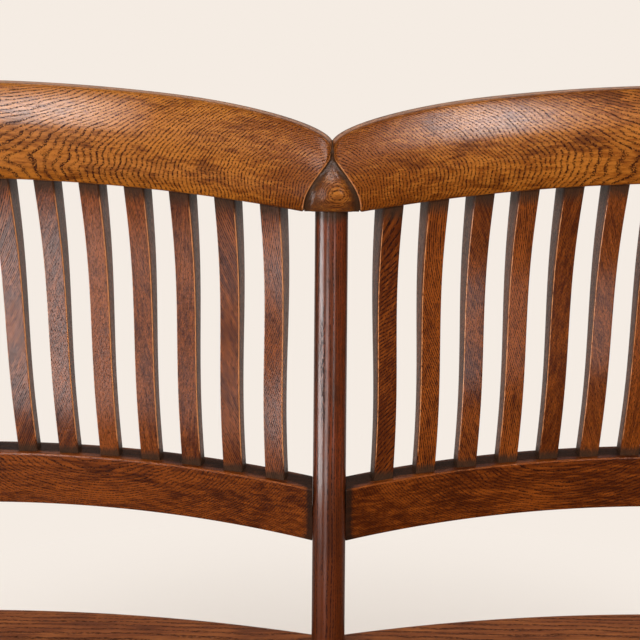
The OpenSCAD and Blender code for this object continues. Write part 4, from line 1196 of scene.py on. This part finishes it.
def paper(room):
    """The floor's paper. Round the settee the lamps light it. Further out the camera sees its own
    colour, and polished wood mirrors that colour dimly from the front and half bright from behind."""
    k = Recipe(bpy.data.materials.new("studio_paper"))
    whole, dim, half = (k.node("ShaderNodeEmission", None, {"Color": (*room, 1.0), "Strength": level})
                        for level in (1.0, 0.05, 0.55))
    lit_share = 0.94
    matt = k.node("ShaderNodeBsdfDiffuse", None, {"Color": (*(lit_share * c for c in room), 1.0)})
    place = k.node("ShaderNodeTexCoord", output="Object")
    away = k.node("ShaderNodeVectorMath", {"operation": "LENGTH"}, {0: place}, output="Value")
    seen = k.node("ShaderNodeLightPath", output="Is Camera Ray") * k.between(away, 0.75, 1.15)
    mirrored = k.either(k.between(k.part(place, "Y"), -0.2, 0.7), dim, half)
    shown = k.either(k.node("ShaderNodeLightPath", output="Is Glossy Ray"),
                     k.either(seen, matt, whole), mirrored)
    k.node("ShaderNodeOutputMaterial", None, {"Surface": shown}, output=None)
    return k.owner


def floor(room):
    """The floor and backdrop: rings about Z, joined by four-sided faces and closed by the first one."""
    around = 96
    turn = np.arange(around) * 2 * np.pi / around
    away, up = np.array(PAPER).T[..., None]
    rings = np.stack([away * np.cos(turn), away * np.sin(turn), up + 0 * turn], -1)
    i, j = np.meshgrid(np.arange(len(PAPER) - 1) * around, np.arange(around), indexing="ij")
    after = (j + 1) % around
    sides = np.stack([i + j, i + around + j, i + around + after, i + after], -1).reshape(-1, 4)
    mesh = bpy.data.meshes.new("floor_surface")
    mesh.from_pydata(rings.reshape(-1, 3), [], sides.tolist() + [list(range(around))])
    mesh.polygons.foreach_set("use_smooth", np.ones(len(mesh.polygons), bool))
    mesh.materials.append(paper(room))
    return bpy.data.objects.new("studio_floor", mesh)


def air():
    """The room's even light. Polished wood mirrors it dark from the front and brighter from behind."""
    k = Recipe(bpy.data.worlds.new("studio_world"))
    even, dark, bright = (k.node("ShaderNodeBackground", None, {"Color": (*AIR, 1.0), "Strength": level})
                          for level in (0.34, 0.06, 0.56))
    behind = k.part(k.node("ShaderNodeTexCoord", output="Object"), "Y")
    shown = k.either(k.node("ShaderNodeLightPath", output="Is Glossy Ray"), even,
                     k.either(k.between(behind, 0.0, 0.4), dark, bright))
    k.node("ShaderNodeOutputWorld", None, {"Surface": shown}, output=None)
    return k.owner


def lamp(name, away, turn, rise, wide, tall, radiance, mirrored):
    """An elliptic lamp that faces the back's middle. Its power is radiance π times its area."""
    turn, rise = math.radians(turn), math.radians(rise)
    toward = Vector((-math.sin(turn) * math.cos(rise), -math.cos(turn) * math.cos(rise), math.sin(rise)))
    light = bpy.data.lights.new(name + "_light", "AREA")
    light.shape = "ELLIPSE"
    light.size, light.size_y = (2 * away * math.tan(math.radians(a)) for a in (wide, tall))
    light.energy = radiance * math.pi * (math.pi / 4 * light.size * light.size_y)
    holder = bpy.data.objects.new(name + "_light", light)
    holder.location = LIT_PLACE + away * toward
    holder.rotation_euler = toward.to_track_quat("Z", "Y").to_euler()
    holder.visible_camera = False
    holder.visible_glossy, holder.visible_diffuse = mirrored, not mirrored
    return holder


def photo_camera():
    """The camera: ahead from its two angles, then its level and upright axes turned by the roll."""
    down, to_right, roll = (math.radians(a) for a in (CAMERA_DOWN, CAMERA_RIGHT, CAMERA_ROLL))
    ahead = np.array([math.sin(to_right) * math.cos(down), math.cos(to_right) * math.cos(down),
                      -math.sin(down)])
    right = np.cross(ahead, [0, 0, 1.0])
    right /= np.linalg.norm(right)
    above = np.cross(right, ahead)
    level = math.cos(roll) * right + math.sin(roll) * above
    upright = math.cos(roll) * above - math.sin(roll) * right
    view = bpy.data.cameras.new("photo_camera")
    view.lens, view.sensor_width = SENSOR_MM * FOCAL_PX / PICTURE_PX, SENSOR_MM
    view.shift_y = ABOVE_AXIS_PX / PICTURE_PX
    camera = bpy.data.objects.new("photo_camera", view)
    place = np.eye(4)
    place[:3, :3] = np.stack([level, upright, -ahead], 1)
    place[:3, 3] = CAMERA_PLACE
    camera.matrix_world = Matrix(place.tolist())
    return camera


class SETTEE_OT_studio(bpy.types.Operator):
    """Makes the floor, the light and the camera"""
    bl_idname = "settee.studio"
    bl_label = "Floor, light and camera"

    def execute(self, context):
        scene = context.scene
        ground, view = floor(scene.settee_colours.room), photo_camera()
        lamps = [lamp(*row, mirrored=False) for row in SOFT] + [lamp(*row, mirrored=True) for row in CARDS]
        for item in (ground, *lamps, view):
            scene.collection.objects.link(item)
        scene.world, scene.camera = air(), view
        scene.view_settings.view_transform = "Standard"
        return {"FINISHED"}


STEPS = (SETTEE_OT_studio, SETTEE_OT_oak, SETTEE_OT_crest_rails, SETTEE_OT_centre_block,
         SETTEE_OT_lower_rails, SETTEE_OT_slats, SETTEE_OT_posts, SETTEE_OT_seat, SETTEE_OT_arms,
         SETTEE_OT_arm_sticks, SETTEE_OT_legs, SETTEE_OT_stretchers)


class SETTEE_PT_steps(bpy.types.Panel):
    """Lists the pieces of the settee in the order in which they are made"""
    bl_idname = "SETTEE_PT_steps"
    bl_label = "Chair-back settee"
    bl_space_type = "VIEW_3D"
    bl_region_type = "UI"
    bl_category = "Settee"

    def draw(self, context):
        for step in STEPS:
            self.layout.operator(step.bl_idname)
        for key in GROUPS:
            group = getattr(context.scene, key)
            box = self.layout.box()
            for name in group.bl_rna.properties.keys():
                if name not in {"rna_type", "name"}:
                    box.prop(group, name)


GROUPS = {"settee_back": SETTEE_PG_back, "settee_slats": SETTEE_PG_slats, "settee_seat": SETTEE_PG_seat,
          "settee_legs": SETTEE_PG_legs, "settee_colours": SETTEE_PG_colours}
CLASSES = (*GROUPS.values(), *STEPS, SETTEE_PT_steps)


def register():
    for cls in CLASSES:
        bpy.utils.register_class(cls)
    for key, group in GROUPS.items():
        setattr(bpy.types.Scene, key, PointerProperty(type=group))


def unregister():
    for key in GROUPS:
        delattr(bpy.types.Scene, key)
    for cls in reversed(CLASSES):
        bpy.utils.unregister_class(cls)


def main():
    register()
    for step in STEPS:
        family, name = step.bl_idname.split(".")
        getattr(getattr(bpy.ops, family), name)()


if __name__ == "__main__":
    main()
